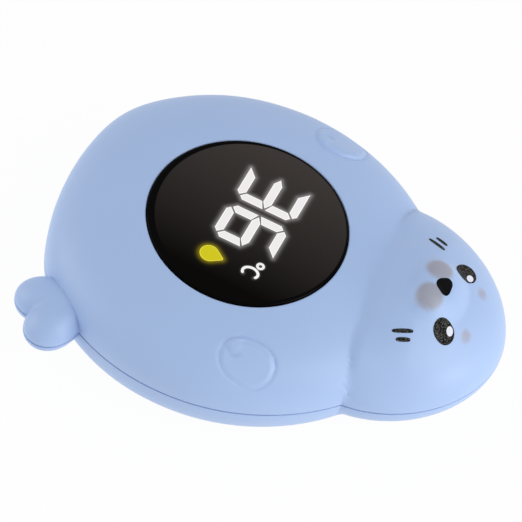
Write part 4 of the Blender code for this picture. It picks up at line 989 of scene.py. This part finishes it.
def away(x, y, outline):
    """Distance from points to a closed outline, 0 inside it (an odd number of crossings)."""
    nearest = np.full(np.shape(x), 1e9)
    inside = np.zeros(np.shape(x), bool)
    for (ax, ay), (bx, by) in zip(outline, np.roll(outline, -1, axis=0)):
        length = max((bx - ax) ** 2 + (by - ay) ** 2, 1e-12)
        t = np.clip(((x - ax) * (bx - ax) + (y - ay) * (by - ay)) / length, 0, 1)
        nearest = np.minimum(nearest, np.hypot(x - ax - t * (bx - ax), y - ay - t * (by - ay)))
        if ay != by:
            crosses = (ay > y) != (by > y)
            inside ^= crosses & (x < (bx - ax) * (y - ay) / (by - ay) + ax)
    return np.where(inside, 0, nearest)


def window():
    """A black disc with a rounded edge. Point attributes hold the light that leaks round the films."""
    angle = even_turns(WINDOW_SIDES)
    flat_radius = WINDOW_RADIUS - WINDOW_BEVEL
    loops = [ring(angle, r, WINDOW_TOP) for r in np.linspace(0.2, flat_radius, 150)]
    for a in np.linspace(0, math.pi / 2, 6)[1:]:
        r, z = flat_radius + WINDOW_BEVEL * math.sin(a), WINDOW_TOP - WINDOW_BEVEL * (1 - math.cos(a))
        loops.append(ring(angle, r, z))
    loops += [ring(angle, r, WINDOW_TOP - WINDOW_THICK) for r in (WINDOW_RADIUS, 0.2)]
    points = np.array(loops).reshape(-1, 3)
    x, y = turned(points[:, :2], -DISPLAY_TURN).T
    light = {"glow": np.zeros(len(points)), "gold": np.zeros(len(points))}
    for name, outline in lit_outlines().items():
        strength, far, power = SIGN_LEAK if name in SIGNS else BAR_LEAK
        leak = strength * np.exp(-((away(x, y, outline) / far) ** power))
        kind = "gold" if name == "lit_drop" else "glow"
        light[kind] = np.maximum(light[kind], leak)
    top = points[:, 2] > WINDOW_TOP - 0.001
    marks = {kind: value * top for kind, value in light.items()}
    piece("window_disc", loops, window_material(), "window_black", ("display_window",), attributes=marks)


def window_material():
    """Gloss black acrylic: a painted reflection that fades from a lighter brown black to near black, a
    blacker border and the leaks.
    """
    made = moulded("gloss_acrylic_black", "#1e1a17", 0.14, 4.0, 0.002, 0.03, ior=1.49, specular=0.03)
    tree = made.node_tree
    place = add(tree, "ShaderNodeTexCoord", {}, "Object")
    way = add(tree, "ShaderNodeVectorMath", {0: place, 1: REFLECTION_WAY}, "Value", operation="DOT_PRODUCT")
    middle = tuple(c * MM for c in BORDER_AT)
    centre = add(tree, "ShaderNodeVectorMath", {0: place, 1: middle}, operation="SUBTRACT")
    apart = add(tree, "ShaderNodeVectorMath", {0: centre}, "Value", operation="LENGTH")
    base, light = colour("#413c3a"), colour("#000000")
    # Painted reflection: the field fades from a lighter brown black to near black along one direction
    for value, span, code in ((way, REFLECTION_SPAN, "#040201"), (apart, BORDER_SPAN, "#020202")):
        share = {"Value": value, "From Min": span[0] * MM, "From Max": span[1] * MM}
        pair = {"Factor": add(tree, "ShaderNodeMapRange", share), 6: base, 7: colour(code)}
        base = add(tree, "ShaderNodeMix", pair, 2, data_type="RGBA")
    for kind, code in (("glow", "#b4b0b0"), ("gold", "#b0a012")):
        mask = add(tree, "ShaderNodeAttribute", {}, "Fac", attribute_name=kind)
        light = add(tree, "ShaderNodeMix", {"Factor": mask, 6: light, 7: colour(code)}, 2, data_type="RGBA")
    lit = {"Base Color": base, "Emission Color": light, "Emission Strength": 1.0}
    wire(tree, tree.nodes["Principled BSDF"], lit)
    return made


def film(name, lit, rings, levels, edges, wrap_rows=False):
    """A thin film from rings in display coordinates, with their levels and shares of the edge's light."""
    loops = [at_level(turned(points, DISPLAY_TURN), z) for points, z in zip(rings, levels)]
    marks = [np.full(len(points), edge) for points, edge in zip(rings, edges)]
    piece(name, loops, *lit, wrap_rows=wrap_rows, attributes={"edge": marks})


def filled_film(name, lit, outline):
    """A lit outline filled on rings towards its middle: its top, its edge and its underside."""
    dense = resample(outline, FILM_STEP)
    middle = outline.mean(axis=0)
    rings = [drawn_in(dense, inset, outline) for inset in (0.0, 0.12, 0.2)]
    rings += [middle + (rings[-1] - middle) * share for share in (0.8, 0.6, 0.4, 0.2, 0.03)]
    levels = [FILM_TOP] * len(rings) + [FILM_BASE] * 2
    edges = [0.0] * (len(rings) - 2) + [1.0] * 4
    film(name, lit, rings[::-1] + [rings[0], rings[-1]], levels, edges)


def degree_film(name, lit, outline):
    """The degree sign: a flat ring with a lit edge outside and inside."""
    middle = np.array(DEGREE_AT)
    shares = (1.0, 0.85, 0.7, 0.55, DEGREE_HOLE / DEGREE_RADIUS)
    rings = [middle + (resample(outline, FILM_STEP) - middle) * share for share in shares]
    edges = [1.0, 0.0, 0.0, 0.0, 1.0]
    levels = [FILM_TOP] * len(rings) + [FILM_BASE] * len(rings)
    film(name, lit, rings + rings[::-1], levels, edges + edges[::-1], wrap_rows=True)


def celsius_film(name, lit, count=60):
    """The C as a thin film: sections across the stroke, carried along its length to round ends."""
    share = np.linspace(0, 1, count)
    turn = math.radians(CELSIUS_OPEN)
    arc = unit_points(turn + share * (TAU - 2 * turn))
    along = np.minimum(share, 1 - share) * count
    width = CELSIUS_STROKE / 2 * np.sqrt(np.clip(1 - np.clip(1 - along / 3.0, 0, 1) ** 2, 0.02, 1))
    middle = arc * np.array(CELSIUS_RADII) + np.array(CELSIUS_AT)
    loops, marks = [], []
    for offset, z, edge in (
        (-1.0, FILM_TOP, 1.0),
        (-0.5, FILM_TOP, 0.3),
        (0.5, FILM_TOP, 0.3),
        (1.0, FILM_TOP, 1.0),
        (1.0, FILM_BASE, 0.0),
        (-1.0, FILM_BASE, 0.0),
    ):
        loops.append(at_level(turned(middle + arc * (offset * width)[:, None], DISPLAY_TURN), z))
        marks.append(np.full(count, edge))
    piece(name, np.swapaxes(loops, 0, 1), *lit, attributes={"edge": np.swapaxes(marks, 0, 1)})


def films():
    """The lit bars and signs, just over the window."""
    for name, outline in lit_outlines().items():
        lit = (LIT_YELLOW, "diffuser_yellow") if name == "lit_drop" else (LIT_WHITE, "diffuser_white")
        if name == "lit_celsius":
            celsius_film(name, lit)
        elif name == "lit_degree":
            degree_film(name, lit, outline)
        else:
            filled_film(name, lit, outline)


# Face: place on the right side, half sizes and turn of each printed mark, and how far it stands proud

INK_LIFT, INK_SINK = 0.06, 0.12
EYE_AT, EYE_HALF, EYE_POINT, EYE_TURN = (8.45, 47.65), (2.58, 2.42), 0.06, 20.0
GLINT_AT, GLINT_HALF, GLINT_TURN, GLINT_LIFT = (7.6, 48.75), (1.05, 0.74), 10.0, 0.1
WHISKERS = {"long": ((12.55, 39.45), (0.46, 2.25)), "short": ((14.2, 40.2), (0.46, 1.55))}
WHISKER_LEAN, WHISKER_LEAN_SIDE, WHISKER_POWERS = 22.5, 3.5, (0.6, 0.85)
NOSE_AT, NOSE_HALF, NOSE_CORNERS, NOSE_LIFT = (0.0, 44.35), (2.15, 1.75), 0.11, 0.09


def ink(name, outline, at, material, slot, rings, lift=INK_LIFT):
    """A film that lies on the upper shell: an outline filled towards its middle, with a thin edge."""
    loops = []
    top = [(share, lift) for share in np.linspace(0.06, 1, rings)]
    for share, depth in top + [(1.0, -INK_SINK), (0.06, -INK_SINK)]:
        x, y = at[0] + share * outline[:, 0], at[1] + share * outline[:, 1]
        loops.append(np.column_stack([x, y, skin(x, y) + depth]))
    piece(name, loops, material, slot)


def face():
    """Eyes with highlights, nose, whisker strokes: films of ink on the upper skin."""
    angle = even_turns(96)
    cos, sin = np.cos(angle), np.sin(angle)
    for side, word in ((1, "right"), (-1, "left")):
        mirror = np.array([side, 1])
        egg = np.column_stack([EYE_HALF[0] * cos, EYE_HALF[1] * sin * (1 - EYE_POINT * cos)])
        ink(f"eye_{word}", turned(egg, EYE_TURN) * mirror, EYE_AT * mirror, INK, "moulded_black", 16)
        glint = turned(unit_points(angle) * np.array(GLINT_HALF), GLINT_TURN) * mirror
        at = GLINT_AT * mirror
        ink(f"eye_glint_{word}", glint, at, HIGHLIGHT, "diffuser_white", 6, GLINT_LIFT)
        for which, (at, half) in WHISKERS.items():
            bar = np.sign(unit_points(angle)) * np.abs(unit_points(angle)) ** np.array(WHISKER_POWERS)
            bar = turned(bar * np.array(half), WHISKER_LEAN - WHISKER_LEAN_SIDE * side) * mirror
            ink(f"whisker_{which}_{word}", bar, at * mirror, INK, "moulded_black", 6)
    radius = 1 + NOSE_CORNERS * np.cos(3 * (angle + math.pi / 2))
    nose = np.column_stack([NOSE_HALF[0] * radius * cos, NOSE_HALF[1] * radius * sin])
    ink("nose", nose, NOSE_AT, NOSE, "moulded_black", 16, NOSE_LIFT)


def finish_nodes():
    """Gives the CAD nodes that stay their materials."""
    for part in frame["record"]["subparts"]:
        materials = frame["nodes"][part["node"]].data.materials
        materials.clear()
        materials.append(BY_SLOT[part["material_slot"]])


# Stage, light and camera

def seen_directly(tree):
    """1 for rays of the camera or from glossy and clear surfaces, 0 for light on the object."""
    seen = add(tree, "ShaderNodeLightPath", {}, "Is Camera Ray")
    for kind in ("Is Glossy Ray", "Is Transmission Ray"):
        other = add(tree, "ShaderNodeLightPath", {}, kind)
        seen = add(tree, "ShaderNodeMath", {0: seen, 1: other}, operation="MAXIMUM")
    return seen


def stage_floor():
    """A pale floor that the camera sees as white, with a trace of the object's shadow."""
    made, tree, shader = new_material("pale_studio_floor")
    wire(tree, shader, {"Base Color": colour("#f4f4f4"), "Roughness": 0.9})
    share = {"Value": seen_directly(tree), "To Min": FLOOR_LIGHT, "To Max": FLOOR_SEEN}
    share = add(tree, "ShaderNodeMapRange", share)
    white = add(tree, "ShaderNodeEmission", {"Color": (1.0, 1.0, 1.0, 1.0), "Strength": 1.0})
    mixed = add(tree, "ShaderNodeMixShader", {0: share, 1: shader.outputs["BSDF"], 2: white})
    wire(tree, tree.nodes["Material Output"], {"Surface": mixed})
    mesh = bpy.data.meshes.new("studio_floor")
    square = ((-1, -1), (1, -1), (1, 1), (-1, 1))
    corners = [(x * FLOOR_HALF * MM, y * FLOOR_HALF * MM, FLOOR_LEVEL * MM) for x, y in square]
    mesh.from_pydata(corners, [], [(0, 1, 2, 3)])
    mesh.materials.append(made)
    placed("studio_floor", mesh)


def sky():
    """An even white surround: white to the camera and in reflections, dimmer as light on the object."""
    world = bpy.data.worlds.new("studio_surround")
    world.use_nodes = True
    tree = world.node_tree
    way = add(tree, "ShaderNodeTexCoord", {}, "Generated")
    rise = add(tree, "ShaderNodeSeparateXYZ", {"Vector": way}, "Z")
    light = {"Value": rise, "To Min": HORIZON_LIGHT, "To Max": ZENITH_LIGHT}
    light = add(tree, "ShaderNodeMapRange", light)
    strength = add(
        tree, "ShaderNodeMapRange", {"Value": seen_directly(tree), "To Min": light, "To Max": 1.0},
    )
    wire(tree, tree.nodes["Background"], {"Color": (1.0, 1.0, 1.0, 1.0), "Strength": strength})
    bpy.context.scene.world = world


def softbox(name, at, size, power):
    """A square lamp that faces the object."""
    data = bpy.data.lights.new(name, "AREA")
    data.size = size * MM
    data.energy = power
    made = placed(name, data)
    made.location = Vector(at) * MM
    made.rotation_mode = "QUATERNION"
    made.rotation_quaternion = (Vector(SOFTBOX_AIM) - Vector(at)).to_track_quat("-Z", "Y")


def camera():
    """The camera of the photograph, turned a little so that the view needs no shift."""
    elevation, bearing, roll = (math.radians(a) for a in (CAMERA_ELEVATION, CAMERA_BEARING, CAMERA_ROLL))
    flat = math.cos(elevation)
    back = Vector((flat * math.cos(bearing), flat * math.sin(bearing), math.sin(elevation)))
    right = Vector((-math.sin(bearing), math.cos(bearing), 0.0))
    up = back.cross(right)
    right, up = right * math.cos(roll) + up * math.sin(roll), up * math.cos(roll) - right * math.sin(roll)
    focal = PIXELS_PER_MM * CAMERA_DISTANCE
    across, down = ((IMAGE_SIZE / 2 - at) / focal for at in VIEW_POINT_AT)
    forward = (-back + right * across - up * down).normalized()
    right = (right - forward * right.dot(forward)).normalized()
    up = right.cross(forward)
    data = bpy.data.cameras.new("camera")
    data.lens = focal * data.sensor_width / IMAGE_SIZE
    made = placed("camera", data)
    place = (Vector(VIEW_POINT) + back * CAMERA_DISTANCE) * MM
    made.matrix_world = Matrix.Translation(place) @ Matrix((right, up, -forward)).transposed().to_4x4()
    bpy.context.scene.camera = made


finish_nodes()
shells()
tail()
underside()
window()
films()
face()
stage_floor()
sky()
for box in SOFTBOXES:
    softbox(*box)
camera()

bpy.context.scene.view_settings.view_transform = "Standard"
